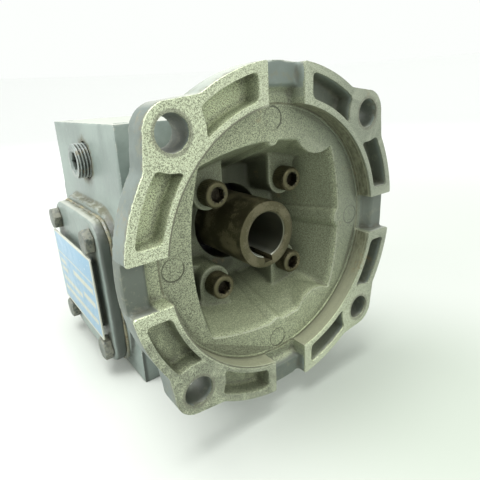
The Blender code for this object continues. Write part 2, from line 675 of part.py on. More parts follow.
def rear_end_cap():
    """A dished cap pressed into the rear bore."""
    cap_r = REAR_BEARING[1]
    inner, rim, sheet, dish_r = -0.0485, -0.0545, 0.0015, 0.015
    cap = [(0, inner - sheet), (dish_r - sheet, inner - sheet), (dish_r + sheet / 2, inner),
           (cap_r, inner), (cap_r, rim), (cap_r - sheet, rim), (cap_r - sheet, inner - sheet),
           (dish_r + sheet, inner - sheet), (dish_r, inner - 2 * sheet), (0, inner - 2 * sheet)]
    finish(turned("rear_end_cap", cap, parent=WORM_AXIS), CAST_GREY)


# ---- worm shaft ---------------------------------------------------------------------------------
def worm_shaft():
    """The worm, its journals and, in front, the quill with the motor's bore and keyway."""
    chamfer = 0.0006
    root_r = WORM_PITCH_R - 1.2 * MODULE
    tip_r = WORM_PITCH_R + MODULE
    bearing_r = FRONT_BEARING[0]
    groove_r = WORM_RING[0] - GAP
    groove_low, groove_high = WORM_RING[2] - GAP, WORM_RING[3] + GAP
    rear_r = REAR_BEARING[0]
    front_shoulder = FRONT_BEARING_U + FRONT_BEARING[2] / 2 + GAP
    rear_shoulder = REAR_BEARING_U + REAR_BEARING[2] / 2 + GAP
    core_r, seat_end, worm_end, rear_end, drill_tip = 0.012, 0.0325, 0.0255, -0.0465, 0.003
    profile = [(0, QUILL_BORE_END - drill_tip), (QUILL_BORE_R, QUILL_BORE_END),
               (QUILL_BORE_R, QUILL_FRONT - chamfer), (QUILL_BORE_R + chamfer, QUILL_FRONT),
               (QUILL_R - chamfer, QUILL_FRONT), (QUILL_R, QUILL_FRONT - chamfer),
               (QUILL_R, front_shoulder), (bearing_r, front_shoulder), (bearing_r, groove_high),
               (groove_r, groove_high), (groove_r, groove_low), (bearing_r, groove_low),
               (bearing_r, seat_end), (core_r, seat_end), (core_r, worm_end), (root_r, worm_end),
               (root_r, -worm_end), (core_r, -worm_end), (core_r, rear_shoulder),
               (rear_r, rear_shoulder), (rear_r, rear_end + chamfer), (rear_r - chamfer, rear_end),
               (0, rear_end)]
    shaft = turned("worm_shaft", profile, 24, parent=WORM_AXIS)
    base_r = root_r - GAP
    half = (LEAD / 2 - BACKLASH) / 2
    base_half = half + (WORM_PITCH_R - base_r) * tan(PRESSURE_ANGLE)
    tip_half = half - (tip_r - WORM_PITCH_R) * tan(PRESSURE_ANGLE)
    thread = [(base_r, -base_half), (tip_r, -tip_half), (tip_r, tip_half), (base_r, base_half)]
    start = radians(-90) - WORM_TURNS * pi
    join(shaft, twisted("worm_thread", thread, start, WORM_TURNS, WORM_TURNS * LEAD,
                        WORM_TURNS * 18, False, parent=WORM_AXIS))
    key_low, key_high = QUILL_BORE_END + BORE_CLEAR, QUILL_FRONT + BORE_CLEAR
    cut(shaft, block("motor_keyway", (MOTOR_KEY, 2 * KEY_DEPTH, key_high - key_low),
                     parent=WORM_AXIS, at=(0, -QUILL_BORE_R, (key_low + key_high) / 2)))
    finish(shaft, DARK_STEEL)


# ---- output shaft and worm gear -----------------------------------------------------------------
def gear_outline():
    """Involute teeth with a tooth space on the local x axis."""
    base = GEAR_PITCH_R * cos(PRESSURE_ANGLE)
    half_pitch_angle = (LEAD / 2 - BACKLASH) / 2 / GEAR_PITCH_R
    root = GEAR_PITCH_R - 1.2 * MODULE
    tip = GEAR_PITCH_R + 0.95 * MODULE

    def half_angle(r):
        pressure = acos(min(1, base / r))
        rolled = tan(PRESSURE_ANGLE) - PRESSURE_ANGLE - (tan(pressure) - pressure)
        return half_pitch_angle + rolled

    flank = [(r, half_angle(r)) for r in (root, base, (base + tip) / 2, tip)]
    points = []
    for k in range(GEAR_TEETH):
        middle = 2 * pi * (k + 0.5) / GEAR_TEETH
        rising = [(r, middle - a) for r, a in flank]
        falling = [(r, middle + a) for r, a in reversed(flank)]
        points += [(r * cos(a), r * sin(a)) for r, a in rising + falling]
    return points


def key_slot(name, low, high, parent):
    size = (2 * KEY_DEPTH + 2 * GAP, KEY_WIDTH, high - low)
    return block(name, size, parent=parent, at=(-SHAFT_R, 0, (low + high) / 2))


def key(name, low, high, parent):
    size = (2 * KEY_DEPTH, KEY_WIDTH - 2 * GAP, high - low - 2 * GAP)
    return finish(block(name, size, parent=parent, at=(-SHAFT_R, 0, (low + high) / 2)), DARK_STEEL)


def output_shaft():
    chamfer = 0.001
    profile = [(0, SHAFT_RIGHT), (SHAFT_R - chamfer, SHAFT_RIGHT), (SHAFT_R, SHAFT_RIGHT - chamfer),
               (SHAFT_R, SHAFT_LEFT + chamfer), (SHAFT_R - chamfer, SHAFT_LEFT), (0, SHAFT_LEFT)]
    shaft = turned("output_shaft", profile, 40, parent=RIGHT)
    cut(shaft, key_slot("gear_keyseat", *GEAR_KEY, RIGHT))
    cut(shaft, key_slot("output_keyseat", *OUTPUT_KEY, RIGHT))
    finish(shaft, GROUND_STEEL)
    key("gear_key", *GEAR_KEY, RIGHT)
    key("output_key", *OUTPUT_KEY, RIGHT)
    spacer_end = OUTPUT_BEARING_X - OUTPUT_BEARING[2] / 2 - GAP
    for side, parent in (("left", LEFT), ("right", RIGHT)):
        finish(ring(f"{side}_spacer", SHAFT_R + GAP, SPACER_R, GEAR_HUB / 2 + GAP, spacer_end, 24,
                    parent=parent), GROUND_STEEL)


def worm_gear():
    twist = GEAR_FACE * LEAD / (2 * pi * WORM_PITCH_R) / GEAR_PITCH_R
    gear = twisted("worm_gear", gear_outline(), -twist / 2, twist / (2 * pi), GEAR_FACE, 2, True,
                   parent=RIGHT)
    join(gear, rod("gear_hub", GEAR_HUB_R, -GEAR_HUB / 2, GEAR_HUB / 2, parent=RIGHT))
    cut(gear, rod("gear_bore", SHAFT_R + GAP, -GEAR_HUB, GEAR_HUB, parent=RIGHT, sides=32))
    cut(gear, key_slot("gear_keyway", -GEAR_HUB, GEAR_HUB, RIGHT))
    finish(gear, BRONZE)


motor_flange()
flange_screws()
flange_gasket()
housing()
plugs()
left_cover()
right_cover()
for cover_side, side_parent in (("left", LEFT), ("right", RIGHT)):
    cover_gasket(f"{cover_side}_cover_gasket", side_parent)
    cover_bolts(cover_side, side_parent)
nameplate()
bearings_and_seals()
rear_end_cap()
worm_shaft()
output_shaft()
worm_gear()
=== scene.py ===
"""A right-angle worm gear reducer with an open motor flange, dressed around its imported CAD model.

All sizes are metres in the CAD's frame: +Z up, the motor face looks along -Y, the output shaft
along +X.
"""
from functools import partialmethod
from math import acos, asin, cos, degrees, log, pi, radians, sin, sqrt, tan
from types import SimpleNamespace

import bmesh
import bpy
import numpy as np
from mathutils import Matrix, Vector, noise


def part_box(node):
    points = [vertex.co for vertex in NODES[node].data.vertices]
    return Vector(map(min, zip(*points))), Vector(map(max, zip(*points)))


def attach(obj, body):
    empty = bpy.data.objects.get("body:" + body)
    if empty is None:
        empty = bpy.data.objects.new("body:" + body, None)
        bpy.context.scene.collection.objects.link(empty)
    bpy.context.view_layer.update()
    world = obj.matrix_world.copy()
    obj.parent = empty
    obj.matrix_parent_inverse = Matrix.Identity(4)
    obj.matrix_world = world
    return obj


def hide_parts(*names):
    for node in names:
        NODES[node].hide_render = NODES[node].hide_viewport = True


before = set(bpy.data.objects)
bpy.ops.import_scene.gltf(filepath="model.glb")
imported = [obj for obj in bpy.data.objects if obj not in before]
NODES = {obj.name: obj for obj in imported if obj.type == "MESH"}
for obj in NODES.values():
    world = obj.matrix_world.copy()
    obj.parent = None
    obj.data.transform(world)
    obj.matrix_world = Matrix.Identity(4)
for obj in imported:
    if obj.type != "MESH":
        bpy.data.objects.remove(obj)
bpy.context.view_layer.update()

# ---- sizes ----
MM = 0.001


def low(node):
    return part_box(node)[0]


def high(node):
    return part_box(node)[1]


def middle(node):
    return (low(node) + high(node)) / 2


INPUT_Z = middle("front_bearing_outer_ring").z
OUTPUT_Z = middle("right_bearing_outer_ring").z
FACE_Y = low("motor_flange").y
FLANGE_BACK = high("motor_flange").y - FACE_Y
HOUSING_TOP = high("housing").z
HOUSING_HALF_Y = high("housing").y
NECK_FACE = high("housing").x
COVER_INNER = NECK_FACE + 1.2 * MM
COVER_FACE = 62 * MM
COVER_HALF = 44 * MM
COVER_CORNER = 14 * MM
COVER_BOW = 0.7 * MM            # how far each side of a cover bows out of straight
COVER_BOLT = 33 * MM
COVER_SLOPE = 1.2 * MM          # the sloping rim of a cover's outer face
COVER_TOP_SCALE = 0.965         # and its outline there against the whole
COVER_CAST = {"voxel": 0.65 * MM, "rounds": 6, "grain": 0.2 * MM}
SPIGOT = (36.3 * MM, 26.5 * MM)         # radius, and where it starts
BEARING_SEAT = (26.3 * MM, 25.5 * MM, 43.3 * MM)
RELIEF_START = 35.5 * MM        # where the opening behind each output bearing starts
PAD_FACE = 65.2 * MM
PAD = (21 * MM, 32 * MM, 4 * MM)         # half sizes and the corners' radius
SEAL_BOSS_FACE = 65.5 * MM
OUTPUT_SEAL = (57.5 * MM, 64.5 * MM)
OUTPUT_SEAL_R = 20 * MM
INPUT_SEAL = (48.5 * MM, 55.5 * MM)
INPUT_SEAL_R = 23.5 * MM
PLUG_OFFSET = -middle("fill_plug").y
PLUG_Z = middle("fill_plug").z
GAP = 0.3 * MM
PAST = 1 * MM                   # how far a cutter runs past the face it opens
TINY = 1e-7                     # keeps a division by an edge's length safe

BASE_HALF = 52.5 * MM           # half the housing's width at its base
ROOF_HALF = 49 * MM             # and at its roof
NECK_HALF = 48 * MM             # the square necks that carry the side covers
NECK_CORNER = 26 * MM
NECK_START = 45 * MM
NECK_DRAFT = 1.015
CHAMBER = (41 * MM, 47 * MM, 18 * MM)   # half sizes along x and y, and the corners' radius
CHAMBER_Z = (9 * MM, 135 * MM)
# Bosses and bores on the worm's axis: name, radius, from, to.
WORM_BOSSES = [("front_boss", 40 * MM, 33.5 * MM, 50 * MM), ("rear_boss", 28 * MM, -50 * MM, -31 * MM)]
WORM_BORES = [("front_bore", 23.8 * MM, 35.7 * MM, 58 * MM), ("front_lip", 19 * MM, 31 * MM, 38 * MM),
              ("rear_bore", 21.3 * MM, -58 * MM, -31.7 * MM),
              ("rear_lip", 16.5 * MM, -34 * MM, -29 * MM)]
NECK_BORE = (36.6 * MM, 25 * MM, 54 * MM)
TAPPED_NECK = (42.5 * MM, 54 * MM)      # tapped holes for the covers' bolts, from and to
TAPPED_FRONT = (37 * MM, 57 * MM)       # and for the flange's screws
FOOT_HOLE = (41 * MM, 46 * MM)          # across and along, the same in the base and the top
FOOT_HOLE_R = 4 * MM
FOOT_HOLE_DEPTH = 16 * MM

FLANGE_T = 12.7 * MM
FLANGE_R = 76.6 * MM
BOLT_XY = 52.76 * MM
EAR_R = 10.7 * MM
EAR_BLEND = 2                   # degrees of the disc's edge that blend into each ear
HOLE_R_FRONT = 6.9 * MM
HOLE_R_BACK = 5.6 * MM
REGISTER_R = 60 * MM
REGISTER_DEPTH = 9.5 * MM
NOTCH_HALF = 10 * MM
NOTCH_FLOOR = 5.2 * MM
NOTCH_FOOT = 65 * MM            # where a notch's floor starts to rise from the register's
NOTCH_TOP = 67.5 * MM           # and where it has risen to the notch's
POCKET_INNER = 62.8 * MM
POCKET_OUTER = 73.2 * MM
POCKET_DEPTH = 8.7 * MM
POCKET_DRAFT = (0.94, 1.03)     # a pocket's size at its floor and at its mouth
POCKET_EDGE = 14.8 * MM
POCKET_EAR_R = 13.7 * MM
CAVITY_HALF = 45 * MM
CAVITY_FLOOR = 48 * MM
CAVITY_FLOOR_HALF = 31 * MM
BOW = 38.5 / 45                 # a bowed square's corner over its half width
BODY_HALF = 51 * MM
BODY_BACK_HALF = 41 * MM
SCREW_XY = 22.65 * MM
SCREW_SEAT = 29.5 * MM
SCREW_R = 3.97 * MM
HOLE_R = 4.3 * MM
WEB_R = 8.3 * MM
THROAT_R = 20.5 * MM
LOBE = (28.5 * MM, 51.5 * MM, 15.5 * MM)
RIBS = [(0, 4.6 * MM, 2.3 * MM), (1, 2.6 * MM, 2.4 * MM), (3, 3.0 * MM, 1.6 * MM)]  # wall, size
PAD_R = 8.6 * MM                # the pads under the screw heads
WEB_STEP = 8 * MM               # how far the webs behind the pads lie below them
POCKET_CORNER = 2.2 * MM
CAST_FLOOR = 0.6 * MM           # metal left on the register's floor
LEDGE_R = 58.9 * MM             # a narrow ledge round the foot of the register
LEDGE_H = 0.9 * MM
MARK_R = 4.9 * MM               # round ejector marks on the register's floor
MARK_AT = 53.9 * MM
MARK_DEPTH = 0.15 * MM
CAST_STOCK = 1.2 * MM           # metal left on the flange for machining

TEETH = 20
WORM_R = 11.4 * MM              # pitch radii
GEAR_R = INPUT_Z - OUTPUT_Z - WORM_R
LEAD = 2 * pi * GEAR_R / TEETH
MODULE = LEAD / pi
SLOPE = tan(radians(20))
TURNS = 5
QUILL_R = 16.7 * MM
BORE_R = 11.1 * MM
QUILL_END = 107 * MM
SHAFT_R = 12.7 * MM
KEY_HALF = 6.35 * MM / 2
KEY_DEPTH = 3.2 * MM            # half the key's height
HEAD_TURNS = {"left": (12, 40, -8, 25), "right": (0, 20, 40, 60)}   # where each head stopped


# ---- places ----
def moved(place, x, y, z=0):
    return place @ Matrix.Translation((x, y, z))


def spun(place, angle, axis="Z"):
    """The place turned about one of its own axes; the angle in degrees."""
    return place @ Matrix.Rotation(radians(angle), 4, axis)


HERE = Matrix.Identity(4)
FACE = spun(moved(HERE, 0, FACE_Y, INPUT_Z), 90, "X")
WORM_AXIS = spun(moved(HERE, 0, 0, INPUT_Z), 90, "X")
RIGHT = spun(moved(HERE, 0, 0, OUTPUT_Z), 90, "Y")
LEFT = spun(moved(HERE, 0, 0, OUTPUT_Z), -90, "Y")

# Pipe plugs: name, CAD node, place, inner end, outer end, radius.
PLUGS = [
    ("fill_pipe_plug", "fill_plug", moved(LEFT, 72.1 * MM, -3 * MM), 42.5 * MM, 56 * MM, 10.2 * MM),
    ("vent_pipe_plug", "vent_plug", moved(RIGHT, -72.1 * MM, -3 * MM), 42.5 * MM, 56 * MM,
     10.2 * MM),
    ("drain_pipe_plug", "drain_plug", moved(WORM_AXIS, 0, -67.9 * MM), -48.5 * MM, -59 * MM,
     8.6 * MM),
    ("level_pipe_plug", "level_plug", moved(WORM_AXIS, 32 * MM, -33.1 * MM), -48.5 * MM, -59 * MM,
     8.6 * MM),
]

# Oil stains and painted shadows behind the flange's screw pads and under the quill: across, above the
# worm's axis, and their radius.
OIL_AND_SHADOW_SPOTS = [(9 * MM, 23 * MM, 14 * MM), (-5 * MM, -21 * MM, 9 * MM), (-20 * MM, 3 * MM, 9 * MM)]

# Blank fields on the plate: from and to along it, then from and to down it, as shares of its size.
PLATE_FIELDS = [(0.02, 0.98, 0.295, 0.315), (0.06, 0.24, 0.39, 0.45), (0.06, 0.24, 0.50, 0.56),
                (0.44, 0.94, 0.39, 0.46), (0.06, 0.60, 0.635, 0.70), (0.66, 0.94, 0.56, 0.63),
                (0.06, 0.94, 0.775, 0.84)]

# ---- colours ----
PAINT = (0.20, 0.245, 0.22)
PAINT_LIGHT = (0.275, 0.325, 0.295)
PAINT_DARK = (0.125, 0.155, 0.14)
# dust, and painted shade, for the paint's recesses
DUST_AND_SHADE = (0.20, 0.18, 0.115)
# grime, and painted shade, for creases
GRIME_AND_SHADE = (0.05, 0.048, 0.028)


# ---- mesh helpers ----
def add(name, bm, place=HERE):
    bmesh.ops.recalc_face_normals(bm, faces=bm.faces)
    bm.transform(place)
    mesh = bpy.data.meshes.new(name)
    bm.to_mesh(mesh)
    bm.free()
    obj = bpy.data.objects.new(name, mesh)
    bpy.context.scene.collection.objects.link(obj)
    return obj


def rod(name, radius, start, end, x=0, y=0, place=HERE, sides=64, top_radius=None):
    """A cylinder or cone along the place's z axis from start to end."""
    bm = bmesh.new()
    bmesh.ops.create_cone(bm, cap_ends=True, segments=sides, radius1=radius,
                          radius2=radius if top_radius is None else top_radius,
                          depth=end - start)
    return add(name, bm, moved(place, x, y, (start + end) / 2))


def walls(bm, rings):
    """Quads from each ring of vertices to the next."""
    for one, two in zip(rings, rings[1:]):
        for i in range(len(one)):
            j = (i + 1) % len(one)
            bm.faces.new((one[i], one[j], two[j], two[i]))


def prism(name, outline, start, end, place=HERE, low_scale=1, high_scale=1):
    """A flat outline extruded along z, with either end scaled about the z axis."""
    bm = bmesh.new()
    bottom = [bm.verts.new((x * low_scale, y * low_scale, start)) for x, y in outline]
    top = [bm.verts.new((x * high_scale, y * high_scale, end)) for x, y in outline]
    bm.faces.new(bottom)
    bm.faces.new(top)
    walls(bm, [bottom, top])
    return add(name, bm, place)


def turned(name, profile, place=HERE, closed=False, steps=96):
    """A profile of (radius, z) points turned about the place's z axis."""
    bm = bmesh.new()
    verts = [bm.verts.new((r, 0, z)) for r, z in profile]
    edges = [bm.edges.new(pair) for pair in zip(verts, verts[1:])]
    if closed:
        edges.append(bm.edges.new((verts[-1], verts[0])))
    bmesh.ops.spin(bm, geom=verts + edges, axis=(0, 0, 1), cent=(0, 0, 0), angle=2 * pi,
                   steps=steps)
    bmesh.ops.remove_doubles(bm, verts=bm.verts, dist=0.001 * MM)
    return add(name, bm, place)


def threaded(name, radius, start, end, pitch, depth, place):
    """A screw thread: a cylinder whose radius rises and falls along a helix."""
    around, rows_a_turn, chamfer = 72, 8, 0.6 * MM
    rows = max(8, round((end - start) / pitch * rows_a_turn))
    bm = bmesh.new()
    grid = []
    for j in range(rows + 1):
        z = start + (end - start) * j / rows
        room = min(z - start, end - z)
        row = []
        for i in range(around):
            turn = (z / pitch - i / around) % 1
            crest = abs(2 * turn - 1) * depth
            r = radius - max(crest, chamfer - room)
            angle = 2 * pi * i / around
            row.append(bm.verts.new((r * cos(angle), r * sin(angle), z)))
        grid.append(row)
    walls(bm, grid)
    bm.faces.new(grid[0])
    bm.faces.new(grid[-1])
    return add(name, bm, place)


def combine(obj, others, operation):
    for other in others:
        modifier = obj.modifiers.new(other.name, "BOOLEAN")
        modifier.operation = operation
        modifier.solver = "MANIFOLD"
        modifier.object = other
    settle(obj)
    for other in others:
        bpy.data.objects.remove(other)


def join(obj, *others):
    combine(obj, others, "UNION")


def cut(obj, *others):
    combine(obj, others, "DIFFERENCE")


def settle(obj):
    """Apply every modifier."""
    graph = bpy.context.evaluated_depsgraph_get()
    graph.update()
    mesh = bpy.data.meshes.new_from_object(obj.evaluated_get(graph))
    obj.modifiers.clear()
    old = obj.data
    obj.data = mesh
    bpy.data.meshes.remove(old)


def modify(obj, kind, **settings):
    """Add one modifier and apply it."""
    modifier = obj.modifiers.new(kind.lower(), kind)
    for key, value in settings.items():
        setattr(modifier, key, value)
    settle(obj)


def as_cast(obj, voxel, rounds, grain, kept=0.5):
    """Round every edge and roughen the skin, as a sand mould leaves them; keep a share of faces."""
    modify(obj, "REMESH", mode="VOXEL", voxel_size=voxel)
    modify(obj, "SMOOTH", iterations=rounds)
    texture = bpy.data.textures.new(obj.name + "_grain", "CLOUDS")
    texture.noise_scale = 3 * MM
    texture.noise_depth = 3
    modify(obj, "DISPLACE", texture=texture, texture_coords="LOCAL", strength=grain)
    modify(obj, "DECIMATE", ratio=kept)


def bevelled(obj, width):
    """Bevel every edge sharper than 30 degrees."""
    modify(obj, "BEVEL", width=width, segments=2, limit_method="ANGLE", angle_limit=radians(30))


def mark_edges(obj):
    """Store how far each vertex stands out from its neighbours, for worn edges, painted highlights on
    edges, and grime and painted shade in corners.
    """
    mesh = obj.data
    count = len(mesh.vertices)
    points = np.empty(count * 3, np.float32)
    mesh.vertices.foreach_get("co", points)
    points = points.reshape(-1, 3)
    normals = np.empty(count * 3, np.float32)
    mesh.vertex_normals.foreach_get("vector", normals)
    normals = normals.reshape(-1, 3)
    ends = np.empty(len(mesh.edges) * 2, np.int32)
    mesh.edges.foreach_get("vertices", ends)
    a, b = ends.reshape(-1, 2).T
    step = points[b] - points[a]
    length = np.maximum(np.linalg.norm(step, axis=1), TINY)
    rise = np.bincount(a, (step * normals[a]).sum(1) / length, count)
    rise += np.bincount(b, -(step * normals[b]).sum(1) / length, count)
    links = np.maximum(np.bincount(a, minlength=count) + np.bincount(b, minlength=count), 1)
    value = -rise / links
    for _ in range(3):
        spread = np.bincount(a, value[b], count) + np.bincount(b, value[a], count)
        value = (value + spread / links) / 2
    attribute = mesh.attributes.new("edge", "FLOAT", "POINT")
    attribute.data.foreach_set("value", value.astype(np.float32))


def finish_piece(obj, material, body, *replaced, slot, sharp=35):
    obj.data.materials.clear()
    obj.data.materials.append(material)
    obj.data.shade_smooth()
    obj.data.set_sharp_from_angle(angle=radians(sharp))
    mark_edges(obj)
    if replaced:
        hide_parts(*replaced)
    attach(obj, body)


# ---- outlines ----
def arc(cx, cy, radius, start, end, steps):
    """Points on an arc; start and end in degrees."""
    angles = [radians(start + (end - start) * i / steps) for i in range(steps + 1)]
    return [(cx + radius * cos(a), cy + radius * sin(a)) for a in angles]


def rotated(points, quarter):
    for _ in range(quarter):
        points = [(-y, x) for x, y in points]
    return points


def at_corner(distance, k):
    """The corner of a square of this half width, after k quarter turns."""
    return rotated([(distance, distance)], k)[0]


def rounded_rectangle(half_x, half_y, radius, steps=12):
    corners = [(1, 1, 0), (-1, 1, 90), (-1, -1, 180), (1, -1, 270)]
    points = []
    for sx, sy, start in corners:
        centre = (sx * (half_x - radius), sy * (half_y - radius))
        points += arc(*centre, radius, start, start + 90, steps)
    return points


def bowed_square(half, steps=16):
    """A square whose sides bow out to +-half between its corners."""
    corner = half * BOW
    rise = half - corner
    radius = (corner ** 2 + rise ** 2) / (2 * rise)
    sweep = degrees(asin(corner / radius))
    side = arc(half - radius, 0, radius, -sweep, sweep, steps)[:-1]
    return [p for quarter in range(4) for p in rotated(side, quarter)]


def flange_outline():
    """A disc with four ears, whose sides run nearly tangent from the ears' rounds to the disc."""
    meet = degrees(acos((BOLT_XY + EAR_R) / FLANGE_R)) - EAR_BLEND
    quarter = arc(0, 0, FLANGE_R, -meet, meet, 40) + arc(BOLT_XY, BOLT_XY, EAR_R, 0, 90, 24)
    return [p for k in range(4) for p in rotated(quarter, k)]


def pocket_outline():
    """One relief pocket between a notch and an ear, in the first eighth of the ring."""
    ear = sqrt(2) * BOLT_XY

    def meets_ear(r):
        return 45 - degrees(acos((r * r + ear * ear - POCKET_EAR_R ** 2) / (2 * r * ear)))

    def ear_angle(r):
        a = radians(meets_ear(r))
        return degrees(-acos((r * cos(a) - BOLT_XY) / POCKET_EAR_R))

    outer = arc(0, 0, POCKET_OUTER, degrees(asin(POCKET_EDGE / POCKET_OUTER)),
                meets_ear(POCKET_OUTER), 12)
    end = arc(BOLT_XY, BOLT_XY, POCKET_EAR_R, ear_angle(POCKET_OUTER), ear_angle(POCKET_INNER), 8)
    inner = arc(0, 0, POCKET_INNER, meets_ear(POCKET_INNER),
                degrees(asin(POCKET_EDGE / POCKET_INNER)), 12)
    return outer + end[1:-1] + inner


def is_corner(points, i):
    """Whether a closed outline turns by 30 degrees or more at a point."""
    before, after = points[i - 1] - points[i], points[(i + 1) % len(points)] - points[i]
    return pi - before.angle(after) >= radians(30)


def softened(outline, radius):
    """The outline with its corners cut to curves, which start a radius away from each."""
    points = [Vector(p) for p in outline]
    corners = [p for i, p in enumerate(points) if is_corner(points, i)]
    result = []
    for i, here in enumerate(points):
        if not is_corner(points, i):
            if min((here - c).length for c in corners) > radius * 0.8:
                result.append(here)
            continue
        inward = (points[i - 1] - here).normalized() * radius
        outward = (points[(i + 1) % len(points)] - here).normalized() * radius
        for t in (j / 6 for j in range(7)):
            result.append(here + inward * (1 - t) ** 2 + outward * t ** 2)
    return [tuple(p) for p in result]


# ---- material helpers ----
class Material:
    """A Principled material and short ways to wire the nodes that feed it."""

    def __init__(self, name, roughness=0.5, metallic=0.0):
        self.material = bpy.data.materials.new(name)
        self.material.use_nodes = True
        self.tree = self.material.node_tree
        self.shader = self.tree.nodes["Principled BSDF"]
        self.shader.inputs["Roughness"].default_value = roughness
        self.shader.inputs["Metallic"].default_value = metallic
        self.coords = self.tree.nodes.new("ShaderNodeTexCoord").outputs["Object"]

    def node(self, kind, inputs=(), output=0, **settings):
        node = self.tree.nodes.new("ShaderNode" + kind)
        for key, value in settings.items():
            setattr(node, key, value)
        for key, value in dict(inputs).items():
            if isinstance(value, bpy.types.NodeSocket):
                self.tree.links.new(value, node.inputs[key])
            else:
                node.inputs[key].default_value = value
        return node.outputs[output]

    def math(self, operation, *values):
        """An operation on one value, or on several from the left."""
        result = self.node("Math", dict(enumerate(values[:2])), operation=operation)
        for value in values[2:]:
            result = self.node("Math", {0: result, 1: value}, operation=operation)
        return result

    times = partialmethod(math, "MULTIPLY")
    plus = partialmethod(math, "ADD")
    minus = partialmethod(math, "SUBTRACT")
    most = partialmethod(math, "MAXIMUM")
    least = partialmethod(math, "MINIMUM")
    absolute = partialmethod(math, "ABSOLUTE")
    above = partialmethod(math, "GREATER_THAN")     # 1 where the first is greater, otherwise 0
    below = partialmethod(math, "LESS_THAN")

    def noise(self, scale, detail=2.0, roughness=0.6, stretch=None):
        coords = self.coords
        if stretch:
            coords = self.node("Mapping", {"Vector": coords, "Scale": stretch})
        return self.node("TexNoise", {"Vector": coords, "Scale": scale, "Detail": detail,
                                      "Roughness": roughness})

    def ramp(self, value, start, end, out=(0.0, 1.0)):
        """value from start to end, as a smooth step from out[0] to out[1]."""
        return self.node("MapRange", {0: value, 1: start, 2: end, 3: out[0], 4: out[1]},
                         interpolation_type="SMOOTHSTEP")

    def ramp_mm(self, value, start, end, out=(0.0, 1.0)):
        """The same for a length, with start and end in millimetres."""
        return self.ramp(value, start * MM, end * MM, out)

    def mix(self, factor, a, b):
        """Colour a to colour b."""
        def rgba(colour):
            return colour if isinstance(colour, bpy.types.NodeSocket) else (*colour, 1)
        return self.node("Mix", {0: factor, 6: rgba(a), 7: rgba(b)}, output=2, data_type="RGBA")

    def brighter(self, colour, share):
        return self.node("VectorMath", {0: colour, "Scale": share}, operation="SCALE")

    def shaded(self, colour, mask, share):
        """The colour times a share where the mask is 1, and unchanged where it is 0."""
        return self.brighter(colour, self.ramp(mask, 0, 1, (1, share)))

    def edge(self):
        """The piece's stored edges: above 0 where it stands out, below 0 in a corner."""
        return self.node("Attribute", output=2, attribute_name="edge")

    def open_sky(self, distance):
        """Near 1 on an open surface, less in a recess."""
        return self.node("AmbientOcclusion", {"Distance": distance}, output=1, samples=6)

    def facing(self, axis):
        """1 on a surface that looks along an axis of the world, -1 on one that looks back."""
        normal = self.node("NewGeometry", output=1)
        return self.node("SeparateXYZ", {0: normal}, output=axis)

    def facing_up(self):
        return self.facing(2)

    def distance(self, a, b):
        """The length of the flat vector (a, b)."""
        return self.math("SQRT", self.plus(self.math("POWER", a, 2), self.math("POWER", b, 2)))

    def position(self):
        return [self.node("SeparateXYZ", {0: self.coords}, output=i) for i in range(3)]

    def height(self, value, strength, distance):
        normal = self.node("Bump", {"Height": value, "Strength": strength, "Distance": distance})
        self.tree.links.new(normal, self.shader.inputs["Normal"])

    def finish(self, colour, roughness=None, metallic=None):
        self.tree.links.new(colour, self.shader.inputs["Base Color"])
        if roughness is not None:
            self.tree.links.new(roughness, self.shader.inputs["Roughness"])
        if metallic is not None:
            self.tree.links.new(metallic, self.shader.inputs["Metallic"])
        return self.material


def paint_colour(m):
    """Blue-grey machine paint, mottled and thin at edges, with dirt and painted shade in corners and
    recesses and painted light on upward faces; also its roughness.
    """
    cloud = m.noise(38, 4, 0.6)
    colour = m.mix(m.ramp(cloud, 0.35, 0.66), PAINT_DARK, PAINT_LIGHT)
    colour = m.mix(0.5, colour, PAINT)
    spots = m.ramp(m.noise(420, 3, 0.7), 0.60, 0.74, (0, 0.35))
    colour = m.mix(spots, colour, PAINT_LIGHT)
    edge = m.edge()
    chips = m.times(m.ramp(edge, 0.05, 0.16), m.ramp(m.noise(260, 3), 0.50, 0.58), 0.7)
    colour = m.mix(chips, colour, (0.47, 0.48, 0.42))
    # dirt in recesses, which also stands in as painted shade there
    dirt = m.times(m.ramp(m.open_sky(9 * MM), 0.80, 0.35), m.ramp(m.noise(70, 3), 0.38, 0.62), 0.65)
    colour = m.mix(dirt, colour, DUST_AND_SHADE)
    # dark in creases, as grime and painted shade
    colour = m.mix(m.times(m.ramp(edge, -0.03, -0.12), 0.45), colour, GRIME_AND_SHADE)
    shade = m.ramp(m.open_sky(22 * MM), 0.80, 0.15, (0, 0.65))
    colour = m.mix(shade, colour, (0.06, 0.07, 0.055))
    # upward faces painted lighter, as light from above and settled dust
    top_light_and_dust = m.ramp(m.facing_up(), 0.75, 1.0, (0, 0.6))
    colour = m.mix(top_light_and_dust, colour, (0.48, 0.49, 0.42))
    return colour, m.ramp(cloud, 0.3, 0.7, (0.34, 0.52))


